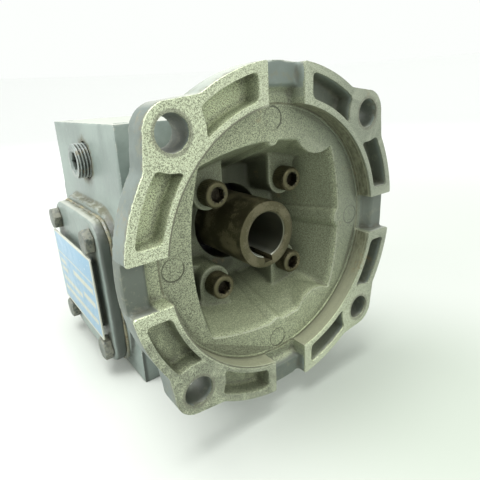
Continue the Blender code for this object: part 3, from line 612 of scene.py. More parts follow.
def painted_iron():
    """The paint on the housing and covers, with oil round the plugs, dirt on the ledges, and a painted
    shadow of the flange, with dirt, on sides that face the front.
    """
    m = Material("painted_cast_iron")
    colour, roughness = paint_colour(m)
    x, y, z = m.position()
    side = m.absolute(x)
    ragged = m.times(m.minus(m.noise(190, 3), 0.5), 11 * MM)
    from_plug = m.distance(m.plus(y, PLUG_OFFSET), m.minus(z, PLUG_Z))
    stain = m.times(m.ramp_mm(m.plus(from_plug, ragged), 17, 10.5, (0, 0.85)), m.ramp_mm(side, 46, 48))
    colour = m.mix(stain, colour, (0.095, 0.088, 0.045))
    shelf = m.times(m.ramp(m.facing_up(), 0.1, 0.4), m.ramp_mm(side, 49.4, 50.6),
                    m.ramp_mm(side, 59.5, 57, (0.15, 1)),
                    m.ramp(m.noise(220, 4, 0.7), 0.36, 0.56, (0.3, 0.9)),
                    m.below(z, HOUSING_TOP - 20 * MM))
    colour = m.mix(shelf, colour, (0.085, 0.085, 0.046))
    # sides facing the front darkened: a painted shadow of the flange, and dirt
    to_front = m.times(m.facing(1), -1.0)
    flange_shadow_and_dirt = m.times(m.ramp(to_front, 0.3, 0.8, (0, 0.85)), m.ramp_mm(side, 49, 51))
    colour = m.mix(flange_shadow_and_dirt, colour, (0.04, 0.046, 0.036))
    skin = m.plus(m.times(m.noise(160, 3), 0.6), m.times(m.noise(900, 2), 0.25))
    m.height(skin, 0.45, 0.5 * MM)
    return m.finish(colour, roughness)


def places_on_flange(m):
    """Measures that the flange's looks depend on, from the motor face and the worm's axis."""
    x, y, z = m.position()
    up = m.minus(z, INPUT_Z)
    across, level = m.absolute(x), m.absolute(up)
    nearer = m.least(across, level)
    return SimpleNamespace(
        x=x, up=up, depth=m.minus(y, FACE_Y), across=across, level=level,
        radius=m.distance(across, level),
        in_notch=m.below(nearer, NOTCH_HALF + 0.4 * MM),
        to_mark=m.distance(m.minus(m.most(across, level), MARK_AT), nearer),
        to_hole=m.distance(m.minus(across, BOLT_XY), m.minus(level, BOLT_XY)))


def bare_aluminium(m, at, speck):
    """The machined face, the register's floor and the hollow behind it, with painted light in the
    pockets and on upward faces.
    """
    face = m.mix(m.ramp(speck, 0.40, 0.57), (0.135, 0.148, 0.092), (0.57, 0.63, 0.435))
    floor = m.mix(m.ramp(speck, 0.42, 0.56), (0.09, 0.10, 0.06), (0.395, 0.44, 0.282))
    hollow = m.mix(m.ramp(speck, 0.40, 0.62), (0.088, 0.10, 0.058), (0.245, 0.272, 0.172))
    bare = m.mix(m.ramp_mm(at.depth, 0.4, 1.2), face, floor)
    # pocket floors painted lighter, as light falling into them
    painted_pocket_light = m.times(m.ramp_mm(at.radius, 61, 62), m.ramp_mm(at.depth, 6, 8), m.minus(1.0, at.in_notch))
    bare = m.shaded(bare, painted_pocket_light, 2.0)
    settled = m.times(m.ramp_mm(at.up, -8, -28), m.ramp_mm(at.x, 30, -20),
                      m.ramp_mm(at.radius, 60.5, 61.5),
                      m.ramp(m.noise(210, 4, 0.7), 0.36, 0.56, (0.55, 1)))
    bare = m.shaded(bare, settled, 0.45)
    dull = m.times(m.ramp_mm(at.x, 10, -30), m.ramp_mm(at.up, 25, 0), m.ramp_mm(at.radius, 60, 59))
    bare = m.shaded(bare, dull, 0.82)
    bare = m.mix(m.ramp_mm(at.depth, 10.3, 14), bare, hollow)
    # upward faces painted lighter, as light from above
    return m.brighter(bare, m.ramp(m.facing_up(), 0.2, 0.9, (1, 1.6)))


def oiled_wall(m, at):
    """The register's wall: streaks of oil, two painted highlight lines round it, and painted light on
    upward faces.
    """
    streaks = m.ramp(m.noise(300, 4, 0.7, stretch=(1, 2, 1)), 0.36, 0.64)
    oiled = m.mix(streaks, (0.07, 0.072, 0.04), (0.17, 0.175, 0.108))
    # two painted highlight lines round the wall
    for line in (1.6 * MM, 7.6 * MM):
        from_line = m.absolute(m.minus(at.depth, line))
        oiled = m.mix(m.ramp_mm(from_line, 0.4, 0.15, (0, 0.6)), oiled, (0.29, 0.30, 0.21))
    # upward faces painted lighter, as light from above
    return m.mix(m.ramp(m.facing_up(), 0.1, 0.8, (0, 0.8)), oiled, (0.30, 0.31, 0.21))


def marked_and_oiled(m, at, bare):
    """Bare metal with its ejector marks and painted shadows round them, oil spots that are partly
    painted shadows, a film with painted shade towards the right, worn places, a burr with a painted
    shadow line, and the wall.
    """
    # a dark ring round each ejector mark: a painted shadow of its rim
    ring = m.times(m.ramp_mm(m.absolute(m.minus(at.to_mark, MARK_R)), 0.45, 0.2),
                   m.ramp_mm(at.depth, 9, 9.3), m.ramp(m.noise(70, 2), 0.40, 0.54, (0.3, 0.9)))
    bare = m.mix(ring, bare, (0.06, 0.062, 0.036))
    # dark spots: oil stains, and painted shadows beside the bosses and under the quill
    for spot_x, spot_up, spot_r in OIL_AND_SHADOW_SPOTS:
        spot = m.distance(m.minus(at.x, spot_x), m.minus(at.up, spot_up))
        oil = m.times(m.ramp(spot, spot_r, spot_r * 0.55), m.ramp_mm(at.depth, 30.5, 32.5), 0.7)
        bare = m.mix(oil, bare, (0.036, 0.042, 0.022))
    # darker towards the right: a film of dirt and painted shade
    aside = m.plus(at.x, m.times(at.up, 0.4))
    film_and_shade = m.times(m.ramp_mm(aside, -4, 76, (0, 0.8)), m.ramp_mm(at.depth, 11, 9.6))
    bare = m.mix(film_and_shade, bare, (0.125, 0.142, 0.112))
    worn = m.times(m.ramp_mm(at.depth, 9.55, 9.7), m.ramp_mm(at.depth, 10.6, 10.2),
                   m.ramp(m.noise(500, 3), 0.36, 0.5, (0.2, 0.8)),
                   m.ramp(at.to_mark, MARK_R, MARK_R + 0.5 * MM), m.ramp_mm(at.radius, 56, 55))
    bare = m.mix(worn, bare, (0.40, 0.43, 0.32))
    # a dark line along the register's edge on the left: a burr and a painted shadow line
    burr_and_shadow_line = m.times(m.ramp_mm(at.radius, 61.0, 60.4), m.ramp_mm(at.depth, 0.5, 0.2),
                   m.ramp_mm(at.x, 5, -20, (0, 0.9)))
    bare = m.mix(burr_and_shadow_line, bare, (0.08, 0.08, 0.05))
    wall = m.times(m.ramp_mm(at.radius, 59.0, 59.9), m.ramp_mm(at.radius, 60.6, 60.2),
                   m.ramp_mm(at.depth, 0.3, 1.0), 0.9)
    return m.mix(wall, bare, oiled_wall(m, at))


def flange_paint(m, at):
    """Masks of the flange's painted rim and of all its paint, and the paint's colour, with painted
    shade in its notches, holes and pockets.
    """
    ragged = m.times(m.minus(m.noise(330, 3), 0.5), 2.4 * MM)
    rim = m.ramp_mm(m.plus(at.radius, ragged), 74.6, 75.2)
    notch = m.times(at.in_notch, m.ramp_mm(at.radius, 65.6, 67.2))
    hole = m.ramp_mm(at.to_hole, 8.2, 7.4)
    ear = m.times(m.ramp_mm(at.to_hole, 9.6, 10.2), m.ramp_mm(at.radius, 74.0, 74.6))
    pocket = m.times(m.ramp_mm(at.radius, 62.6, 63.2), m.ramp_mm(at.x, 0, 30, (0.05, 0.9)))
    below_face = m.above(m.plus(at.depth, ragged), 0.9 * MM)
    covered = m.times(m.most(rim, notch, hole, ear, pocket), below_face)
    power = log(2) / log(1 / BOW)
    squareness = m.math("POWER", m.plus(m.math("POWER", at.across, power),
                                        m.math("POWER", at.level, power)), 1 / power)
    wall_middle = m.minus(BODY_HALF, m.times(at.depth, 0.28))
    behind = m.ramp(at.depth, FLANGE_T - 0.8 * MM, FLANGE_T)
    outer_skin = m.times(behind, m.above(squareness, wall_middle))
    paint = m.brighter(paint_colour(m)[0], m.ramp_mm(at.x, -40, -62, (1, 0.66)))
    # paint in the notches, holes and pockets darkened as painted shade, less in the upper notch
    sunk_shade = m.times(notch, m.ramp_mm(at.up, 50, 15, (0.3, 0.85)))
    sunk_shade = m.times(m.most(sunk_shade, hole, pocket), m.ramp_mm(at.depth, 1, 3, (0, 0.8)))
    paint = m.mix(sunk_shade, paint, (0.078, 0.09, 0.066))
    rubbed = m.times(m.ramp(m.noise(240, 5, 0.75), 0.53, 0.62), 0.6)
    return rim, m.most(covered, outer_skin), m.mix(rubbed, paint, (0.165, 0.175, 0.128))


def cast_aluminium():
    """Bare cast metal inside the flange and on its face, painted on the outside, with painted
    highlights on edges and painted shade in creases and deep recesses.
    """
    m = Material("raw_cast_aluminium")
    at = places_on_flange(m)
    speck = m.plus(m.times(m.noise(2700, 2, 0.8), 0.65), m.times(m.noise(1500, 3, 0.7), 0.35))
    bare = marked_and_oiled(m, at, bare_aluminium(m, at, speck))
    rim, covered, paint = flange_paint(m, at)
    colour = m.mix(covered, bare, paint)
    lip = m.times(m.ramp_mm(at.depth, 0.5, 1.0), m.ramp_mm(at.depth, 3.2, 1.6),
                  m.ramp(m.noise(300, 4, 0.7), 0.42, 0.56, (0, 0.7)), rim)
    colour = m.mix(lip, colour, (0.12, 0.12, 0.08))
    mouth = m.times(m.ramp_mm(at.to_hole, 8.4, 7.6), m.ramp_mm(at.depth, 0.6, 0.3), 0.6)
    colour = m.mix(mouth, colour, (0.10, 0.10, 0.07))
    # raised edges lighter: worn metal and painted highlights
    edge = m.times(m.edge(), m.ramp(at.to_mark, MARK_R + 0.3 * MM, MARK_R + 0.9 * MM))
    bright = m.times(m.ramp(edge, 0.04, 0.16), m.ramp_mm(at.x, -10, -60, (0.32, 0.05)))
    colour = m.mix(bright, colour, (0.48, 0.51, 0.39))
    # dark in creases, as grime and painted shade
    colour = m.mix(m.times(m.ramp(edge, -0.02, -0.10), 0.55), colour, GRIME_AND_SHADE)
    # deep recesses darkened as painted shade
    deep = m.ramp_mm(at.depth, 16, 40)
    recess = m.times(m.ramp(m.open_sky(24 * MM), 0.62, 0.15), m.ramp(deep, 0, 1, (0.3, 0.95)))
    colour = m.mix(recess, colour, (0.044, 0.049, 0.028))
    rust = m.times(m.ramp(m.noise(55, 3), 0.62, 0.74), m.ramp(m.noise(400, 3), 0.45, 0.6), 0.5)
    colour = m.mix(rust, colour, (0.22, 0.15, 0.06))
    m.height(m.times(speck, m.minus(1.0, m.times(covered, 0.75))), 0.55, 0.5 * MM)
    return m.finish(colour, m.plus(m.times(speck, 0.3), 0.38))


def rusty_steel(name, rust_share, tone=1.0, bore=False):
    """Oiled dark steel under a bloom of brown rust, with dirt and painted shade in creases, and a
    painted reflection inside the worm's bore.
    """
    m = Material(name)
    mixed = m.plus(m.times(m.noise(85, 5, 0.65), 0.65), m.times(m.noise(1300, 3, 0.7), 0.35))
    dark, brown, bare = ([c * tone for c in colour] for colour in (
        (0.024, 0.023, 0.014), (0.066, 0.056, 0.023), (0.125, 0.116, 0.062)))
    bloom = m.ramp(mixed, 0.58 - 0.2 * rust_share, 0.66 - 0.2 * rust_share)
    colour = m.mix(bloom, dark, brown)
    edge = m.edge()
    colour = m.mix(m.times(m.ramp(edge, 0.03, 0.12), 0.6), colour, bare)
    # dark in creases, as dirt and painted shade
    colour = m.mix(m.times(m.ramp(edge, -0.02, -0.10), 0.7), colour, (0.02, 0.016, 0.01))
    m.height(mixed, 0.35, 0.3 * MM)
    metal = m.minus(0.85, m.times(bloom, 0.65))
    rough = m.ramp(mixed, 0.35, 0.7, (0.34, 0.66))
    if bore:
        x, _, z = m.position()
        up = m.minus(z, INPUT_Z)
        inside = m.ramp(m.distance(x, up), BORE_R + 0.5 * MM, BORE_R + 0.2 * MM, (0, 0.85))
        # a bright streak along the bore's lower side: a painted reflection
        painted_reflection = m.times(m.ramp_mm(up, -4, -9), m.ramp_mm(x, 6, 0, (0.1, 1)))
        lining = m.mix(painted_reflection, (0.15, 0.155, 0.11), (0.88, 0.93, 0.78))
        colour = m.mix(inside, colour, lining)
        metal = m.most(metal, inside)
        rough = m.times(rough, m.ramp(inside, 0, 1, (1, 0.8)))
    return m.finish(colour, rough, metal)


def ground_steel():
    m = Material("ground_steel", metallic=0.9)
    cloud = m.noise(60, 3)
    lines = m.noise(900, 2, 0.5, stretch=(6, 1, 1))
    colour = m.mix(cloud, (0.42, 0.42, 0.40), (0.62, 0.62, 0.60))
    stain = m.ramp(m.noise(140, 4, 0.7), 0.60, 0.72, (0, 0.45))
    colour = m.mix(stain, colour, (0.25, 0.19, 0.12))
    m.height(lines, 0.15, 0.1 * MM)
    return m.finish(colour, m.ramp(lines, 0.3, 0.7, (0.22, 0.40)))


def bronze():
    m = Material("bronze", metallic=0.95)
    colour = m.mix(m.noise(90, 3), (0.48, 0.28, 0.11), (0.66, 0.43, 0.20))
    lines = m.noise(1100, 2)
    m.height(lines, 0.1, 0.1 * MM)
    return m.finish(colour, m.ramp(lines, 0.3, 0.7, (0.24, 0.42)))


def rubber():
    m = Material("black_rubber")
    dust = m.ramp(m.noise(260, 4, 0.7), 0.48, 0.70, (0, 0.5))
    colour = m.mix(dust, (0.018, 0.018, 0.018), (0.10, 0.09, 0.07))
    m.height(m.noise(1500, 2), 0.15, 0.1 * MM)
    return m.finish(colour, m.ramp(m.noise(80, 2), 0.3, 0.7, (0.5, 0.75)))


def gasket_paper():
    m = Material("gasket_paper")
    fibre = m.noise(700, 4, 0.7)
    colour = m.mix(fibre, (0.20, 0.145, 0.075), (0.46, 0.38, 0.24))
    m.height(fibre, 0.4, 0.2 * MM)
    return m.finish(colour, m.ramp(fibre, 0.3, 0.7, (0.7, 0.9)))


def sealant():
    """The tan, rust-stained sealant squeezed out along the covers' joints."""
    m = Material("joint_sealant")
    cloud = m.noise(150, 4, 0.7)
    colour = m.mix(m.ramp(cloud, 0.40, 0.62), (0.13, 0.14, 0.11), (0.235, 0.22, 0.135))
    colour = m.mix(m.ramp(m.noise(310, 3), 0.50, 0.64, (0, 0.75)), colour, (0.12, 0.088, 0.04))
    m.height(cloud, 0.4, 0.4 * MM)
    return m.finish(colour, m.ramp(cloud, 0.3, 0.7, (0.3, 0.55)))


def painted_fastener():
    """Paint over a steel head, rubbed through at its corners and grimy on top."""
    m = Material("painted_fastener")
    colour = paint_colour(m)[0]
    colour = m.mix(0.74, colour, (0.042, 0.048, 0.037))
    worn = m.times(m.ramp(m.edge(), 0.02, 0.09), m.ramp(m.noise(500, 3), 0.36, 0.56))
    colour = m.mix(m.times(worn, 0.7), colour, (0.22, 0.22, 0.17))
    dirt = m.ramp(m.noise(330, 4, 0.7), 0.54, 0.68, (0, 0.5))
    colour = m.mix(dirt, colour, (0.10, 0.085, 0.055))
    m.height(m.noise(600, 3), 0.3, 0.3 * MM)
    return m.finish(colour, m.ramp(m.noise(90, 2), 0.3, 0.7, (0.38, 0.6)))


def painted_thread():
    """Machine paint over a pipe plug's thread, with painted shade in its grooves and painted highlights
    and worn paint on its crests.
    """
    m = Material("painted_thread")
    colour = m.mix(0.5, paint_colour(m)[0], (0.085, 0.105, 0.10))
    edge = m.edge()
    # crests lighter: painted highlights and worn paint
    crest = m.times(m.ramp(edge, 0.03, 0.14), m.ramp(m.noise(600, 3), 0.38, 0.56), 0.5)
    colour = m.mix(crest, colour, (0.34, 0.37, 0.35))
    # grooves darkened as painted shade
    colour = m.mix(m.ramp(edge, 0.0, -0.07, (0, 0.95)), colour, (0.018, 0.02, 0.016))
    rust = m.ramp(m.noise(230, 4, 0.7), 0.57, 0.68, (0, 0.6))
    colour = m.mix(rust, colour, (0.16, 0.125, 0.06))
    m.height(m.noise(900, 3), 0.3, 0.3 * MM)
    return m.finish(colour, m.ramp(m.noise(120, 2), 0.3, 0.7, (0.3, 0.5)))


def plate_print():
    """A blue rating plate with cream bands and blank fields, and no lettering."""
    m = Material("plate_blue", metallic=0.1)
    _, y, z = m.position()
    start, end = low("nameplate"), high("nameplate")
    along = m.node("MapRange", {0: y, 1: end.y, 2: start.y})
    down = m.node("MapRange", {0: z, 1: end.z, 2: start.z})

    def field(left, right, top, bottom):
        return m.times(m.above(along, left), m.below(along, right), m.above(down, top),
                       m.below(down, bottom))

    border = m.minus(1.0, field(0.022, 0.978, 0.03, 0.965))
    cream = m.most(border, *[field(*area) for area in PLATE_FIELDS])
    blue = m.mix(m.noise(60, 3), (0.17, 0.30, 0.42), (0.25, 0.385, 0.49))
    pale = m.mix(m.noise(300, 3), (0.36, 0.38, 0.31), (0.50, 0.51, 0.43))
    colour = m.mix(cream, blue, pale)
    scuff = m.ramp(m.noise(420, 4, 0.75), 0.60, 0.70, (0, 0.55))
    colour = m.mix(scuff, colour, (0.58, 0.60, 0.56))
    stain = m.ramp(m.noise(75, 4, 0.7), 0.60, 0.76, (0, 0.4))
    colour = m.mix(stain, colour, (0.30, 0.27, 0.18))
    m.height(m.plus(m.times(cream, 0.5), scuff), 0.25, 0.1 * MM)
    return m.finish(colour, m.ramp(m.noise(120, 2), 0.3, 0.7, (0.28, 0.45)))


# ---- motor flange ----
def drafted(name, outline, start, end, low_scale, high_scale):
    """A prism on the motor face whose walls lean outwards about its own middle."""
    middle_x = sum(x for x, _ in outline) / len(outline)
    middle_y = sum(y for _, y in outline) / len(outline)
    centred = [(x - middle_x, y - middle_y) for x, y in outline]
    return prism(name, centred, start, end, moved(FACE, middle_x, middle_y), low_scale, high_scale)


def cavity_core():
    """The hollow behind the register: a tapered bowed square less its bosses, lobes and ribs."""
    slope = (CAVITY_HALF - CAVITY_FLOOR_HALF) / (CAVITY_FLOOR - REGISTER_DEPTH)
    top = -REGISTER_DEPTH + 2 * PAST
    top_half = CAVITY_HALF + slope * 2 * PAST
    core = prism("cavity_core", bowed_square(top_half), -CAVITY_FLOOR, top, FACE,
                 low_scale=CAVITY_FLOOR_HALF / top_half)
    bottom = -CAVITY_FLOOR - PAST
    edge = SCREW_XY - WEB_R
    far = CAVITY_HALF + WEB_R
    web = [(far, far), (edge, far)] + arc(SCREW_XY, SCREW_XY, WEB_R, 180, 270, 16) + [(far, edge)]
    solids = []
    for k in range(4):
        solids.append(prism(f"web_{k}", rotated(web, k), bottom, -SCREW_SEAT - WEB_STEP, FACE))
        x, y = at_corner(SCREW_XY, k)
        way = 1 if y > 0 else -1
        boss = [(x + PAD_R, y), (x + PAD_R, y + way * far), (x - PAD_R, y + way * far),
                (x - PAD_R, y)]
        boss += arc(x, y, PAD_R, 180, 180 + way * 180, 24)[1:-1]
        solids.append(prism(f"boss_{k}", boss, bottom, -SCREW_SEAT, FACE))
    solids += [rod(f"lobe_{side}", LOBE[2], bottom, top + PAST, LOBE[0], side * LOBE[1], FACE)
               for side in (-1, 1)]
    length = sqrt((CAVITY_FLOOR - REGISTER_DEPTH) ** 2 + (CAVITY_HALF - CAVITY_FLOOR_HALF) ** 2)
    lean = degrees(asin((CAVITY_HALF - CAVITY_FLOOR_HALF) / length))
    for k, half_width, rise in RIBS:
        place = spun(moved(spun(FACE, 90 * k), CAVITY_HALF, 0, -REGISTER_DEPTH), lean, "Y")
        oval = [(rise * cos(a), half_width * sin(a)) for a in (2 * pi * i / 32 for i in range(32))]
        solids.append(prism(f"rib_{k}", oval, -length - PAST, 3 * PAST, place, low_scale=0.8))
    cut(core, *solids)
    return core


def flange_blank():
    """The flange as it is cast, before its face and register are machined."""
    blank = prism("flange_casting", flange_outline(), -FLANGE_T, CAST_STOCK, FACE)
    join(blank, prism("body", bowed_square(BODY_HALF), -FLANGE_BACK, -FLANGE_T + 2 * PAST, FACE,
                      low_scale=BODY_BACK_HALF / BODY_HALF))
    over = CAST_STOCK + PAST
    tools = [rod("register", LEDGE_R, CAST_FLOOR - REGISTER_DEPTH, over, place=FACE, sides=128),
             cavity_core(),
             rod("throat", THROAT_R, -FLANGE_BACK - PAST, -CAVITY_FLOOR + PAST, place=FACE)]
    start, end = REGISTER_R - 3 * PAST, FLANGE_R + 2 * PAST
    ramp = [(start, -REGISTER_DEPTH), (NOTCH_FOOT, -REGISTER_DEPTH), (NOTCH_TOP, -NOTCH_FLOOR),
            (end, -NOTCH_FLOOR), (end, over), (start, over)]
    pocket = softened(pocket_outline(), POCKET_CORNER)
    mirrored = [(y, x) for x, y in reversed(pocket)]
    for k in range(4):
        place = spun(spun(FACE, 90 * k), 90, "X")
        tools.append(prism(f"notch_{k}", ramp, -NOTCH_HALF, NOTCH_HALF, place))
        for side, outline in (("left", pocket), ("right", mirrored)):
            tools.append(drafted(f"pocket_{k}_{side}", rotated(outline, k), -POCKET_DEPTH, over,
                                 *POCKET_DRAFT))
        tools.append(rod(f"hole_{k}", HOLE_R_BACK, -FLANGE_T - PAST, over, *at_corner(BOLT_XY, k), FACE,
                         top_radius=HOLE_R_FRONT + 0.1 * MM))
        tools.append(rod(f"screw_hole_{k}", HOLE_R, -FLANGE_BACK - PAST, -SCREW_SEAT + PAST,
                         *at_corner(SCREW_XY, k), FACE, sides=32))
    cut(blank, *tools)
    return blank


def flange_casting(look):
    casting = flange_blank()
    as_cast(casting, 0.8 * MM, rounds=4, grain=0.12 * MM)
    beyond = 90 * MM
    tools = [prism("facing", rounded_rectangle(beyond, beyond, MM), 0, 5 * MM, FACE),
             rod("register_floor", LEDGE_R, -REGISTER_DEPTH, PAST, place=FACE, sides=180),
             rod("register_bore", REGISTER_R, LEDGE_H - REGISTER_DEPTH, PAST, place=FACE, sides=180)]
    for k in range(4):
        x, y = rotated([(MARK_AT, 0)], k)[0]
        tools.append(rod(f"mark_{k}", MARK_R, -REGISTER_DEPTH - MARK_DEPTH, MARK_DEPTH - REGISTER_DEPTH,
                         x, y, FACE))
    cut(casting, *tools)
    finish_piece(casting, look, "gearcase", "motor_flange", slot="raw_cast_aluminium")


def cap_screws(look):
    """Socket head cap screws with knurled heads and deep hexagon sockets."""
    head_r, head_h, length = 6.2 * MM, 7.9 * MM, 53.5 * MM
    socket_r, socket_depth, mouth_depth = 3.7 * MM, 4 * MM, 0.35 * MM
    knurls, knurl_depth = 40, 0.22 * MM
    outline = []
    for i in range(knurls * 4):
        angle = 2 * pi * i / (knurls * 4)
        r = head_r - (knurl_depth if i % 4 < 2 else 0)
        outline.append((r * cos(angle), r * sin(angle)))
    seat = -SCREW_SEAT + GAP
    top = seat + head_h
    crown = [(0, top), (head_r - 1.2 * MM, top), (head_r - 0.8 * MM, top - 0.15 * MM),
             (head_r - 0.25 * MM, top - 0.8 * MM), (head_r - 0.25 * MM, top - 1.6 * MM),
             (0, top - 1.6 * MM)]
    for k in range(4):
        place = moved(FACE, *at_corner(SCREW_XY, k + 1))
        screw = prism(f"cap_screw_{k + 1}", outline, seat, top - 1.1 * MM, place)
        join(screw, turned("crown", crown, place),
             rod("shank", SCREW_R, seat - length, seat + PAST, place=place, sides=32))
        cut(screw, rod("socket", socket_r, top - socket_depth, top + PAST, place=place, sides=6),
            rod("countersink", socket_r - 0.4 * MM, top - mouth_depth, top + 0.05 * MM, place=place,
                top_radius=socket_r + 0.2 * MM, sides=48))
        finish_piece(screw, look, "gearcase", f"flange_screw_{k + 1}", slot="rusty_steel")


# ---- housing ----
def housing_casting(look):
    """A box that narrows upwards, with a neck on either side, its chamber, bosses and bores."""
    outline = [(-BASE_HALF, -HOUSING_HALF_Y), (BASE_HALF, -HOUSING_HALF_Y),
               (BASE_HALF, HOUSING_HALF_Y), (-BASE_HALF, HOUSING_HALF_Y)]
    case = prism("housing_casting", outline, 0, HOUSING_TOP)
    for vertex in case.data.vertices:
        if vertex.co.z > 0:
            vertex.co.x *= ROOF_HALF / BASE_HALF
    neck = rounded_rectangle(NECK_HALF, NECK_HALF, NECK_CORNER, 24)
    join(case, *[prism(f"neck_{i}", neck, NECK_START, NECK_FACE, place, low_scale=NECK_DRAFT)
                 for i, place in enumerate((LEFT, RIGHT))])
    cut(case, prism("chamber", rounded_rectangle(*CHAMBER), *CHAMBER_Z))
    join(case, *[rod(*boss, place=WORM_AXIS) for boss in WORM_BOSSES])
    tools = [rod(*bore, place=WORM_AXIS) for bore in WORM_BORES]
    for side, place in (("left", LEFT), ("right", RIGHT)):
        tools.append(rod(f"{side}_bore", *NECK_BORE, place=place))
        for k in range(4):
            tools.append(rod(f"{side}_tapped_{k}", HOLE_R, *TAPPED_NECK, *at_corner(COVER_BOLT, k),
                             place, 24))
    for k in range(4):
        tools.append(rod(f"front_tapped_{k}", HOLE_R, *TAPPED_FRONT, *at_corner(SCREW_XY, k),
                         WORM_AXIS, 24))
        x_way, y_way = at_corner(1, k)
        foot = (x_way * FOOT_HOLE[0], y_way * FOOT_HOLE[1])
        tools.append(rod(f"base_hole_{k}", FOOT_HOLE_R, -PAST, FOOT_HOLE_DEPTH, *foot, sides=32))
        tools.append(rod(f"top_hole_{k}", FOOT_HOLE_R, HOUSING_TOP - FOOT_HOLE_DEPTH,
                         HOUSING_TOP + PAST, *foot, sides=32))
    for _, _, place, inner, outer, radius in PLUGS:
        way = 1 if outer > inner else -1
        ends = sorted((inner - way * 4 * MM, way * 60 * MM))
        tools.append(rod("plug_hole", radius + GAP, *ends, place=place))
    cut(case, *tools)
    as_cast(case, 1.0 * MM, rounds=5, grain=0.15 * MM, kept=0.45)
    finish_piece(case, look, "gearcase", "housing", slot="painted_cast_iron")


def pipe_plugs(look):
    """Taper plugs with their threads showing and a hexagon socket."""
    pitch, depth, socket_depth = 1.81 * MM, 0.95 * MM, 7 * MM
    for name, node, place, inner, outer, radius in PLUGS:
        start, end = sorted((inner, outer))
        plug = threaded(name, radius, start, end, pitch, depth, place)
        way = 1 if outer > inner else -1
        ends = sorted((outer + way * PAST, outer - way * socket_depth))
        mouth = sorted((outer + way * 0.1 * MM, outer - way * 0.9 * MM))
        wide, narrow = radius * 0.66, radius * 0.52
        cut(plug, rod("socket", radius * 0.56, *ends, place=place, sides=6),
            rod("countersink", narrow if way > 0 else wide, *mouth, place=place, sides=48,
                top_radius=wide if way > 0 else narrow))
        finish_piece(plug, look, "gearcase", node, slot="rusty_steel", sharp=50)


# ---- side covers ----
def cover_outline():
    """A rounded square whose sides bow out a little."""
    points = rounded_rectangle(COVER_HALF, COVER_HALF, COVER_CORNER, 16)
    bowed = []
    for (x, y), (next_x, next_y) in zip(points, points[1:] + points[:1]):
        steps = 12 if (Vector((next_x, next_y)) - Vector((x, y))).length > COVER_CORNER else 1
        for t in (j / steps for j in range(steps)):
            px, py = x + (next_x - x) * t, y + (next_y - y) * t
            fall = COVER_BOW * (min(abs(px), abs(py)) / COVER_HALF) ** 2
            scale = 1 + (COVER_BOW - 2 * fall) / COVER_HALF
            bowed.append((px * scale, py * scale))
    return bowed


def cover_blank(name, place):
    """A plate with a sloping rim, its spigot in the neck's bore and the bearing's pocket."""
    outline = cover_outline()
    plate = prism(name, outline, COVER_INNER, COVER_FACE - COVER_SLOPE, place)
    join(plate, prism("crown", outline, COVER_FACE - COVER_SLOPE - 0.05 * MM, COVER_FACE, place,
                      high_scale=COVER_TOP_SCALE))
    join(plate, rod("spigot", *SPIGOT, COVER_INNER + PAST, place=place, sides=96))
    cut(plate, rod("pocket", *BEARING_SEAT, place=place, sides=96))
    return plate


def bolt_holes(place):
    return [rod(f"hole_{k}", HOLE_R, COVER_INNER - PAST, COVER_FACE + PAST, *at_corner(COVER_BOLT, k),
                place, 32) for k in range(4)]


def closed_cover(look):
    plate = cover_blank("closed_cover", LEFT)
    cut(plate, rod("relief", 18 * MM, RELIEF_START, 51 * MM, place=LEFT, sides=72))
    join(plate, prism("pad", rounded_rectangle(*PAD), COVER_FACE - PAST, PAD_FACE, LEFT))
    cut(plate, *bolt_holes(LEFT))
    as_cast(plate, **COVER_CAST)
    finish_piece(plate, look, "gearcase", "left_cover", slot="painted_cast_iron")


def open_cover(look):
    boss_r, facing_r, hole_r = 27 * MM, 24 * MM, 14.7 * MM
    plate = cover_blank("open_cover", RIGHT)
    join(plate, rod("boss", boss_r, COVER_FACE - PAST, SEAL_BOSS_FACE, place=RIGHT, sides=96))
    beyond = SEAL_BOSS_FACE + 2 * PAST
    cut(plate, rod("shaft_hole", hole_r, RELIEF_START, beyond, place=RIGHT, sides=72),
        *bolt_holes(RIGHT))
    as_cast(plate, **COVER_CAST)
    cut(plate, rod("seal_bore", OUTPUT_SEAL_R + GAP, OUTPUT_SEAL[0] - GAP, beyond, place=RIGHT,
                   sides=128),
        rod("facing", facing_r, SEAL_BOSS_FACE - 0.4 * MM, beyond, place=RIGHT, sides=128))
    finish_piece(plate, look, "gearcase", "right_cover", slot="painted_cast_iron")


def hexagon_bolts(look):
    """Hexagon heads with a chamfered crown, their edges softened by paint."""
    head_r, head_h, tip = 7.33 * MM, 4.7 * MM, 44 * MM
    seat = COVER_FACE + GAP
    top = seat + head_h
    flat = head_r * cos(pi / 6)
    crown = [(0, top), (flat - 0.3 * MM, top), (head_r + 0.4 * MM, top - 1.35 * MM),
             (head_r + 0.4 * MM, seat - MM), (0, seat - MM)]
    for side, side_place in (("left", LEFT), ("right", RIGHT)):
        for k, turn in enumerate(HEAD_TURNS[side]):
            place = spun(moved(side_place, *at_corner(COVER_BOLT, k)), turn)
            bolt = rod(f"{side}_hex_bolt_{k + 1}", head_r, seat, top, place=place, sides=6)
            combine(bolt, [turned("crown", crown, place)], "INTERSECT")
            join(bolt, rod("shank", SCREW_R, tip, seat + PAST, place=place, sides=32))
            bevelled(bolt, 0.35 * MM)
            finish_piece(bolt, look, "gearcase", f"{side}_cover_bolt_{k + 1}",
                         slot="painted_fastener")


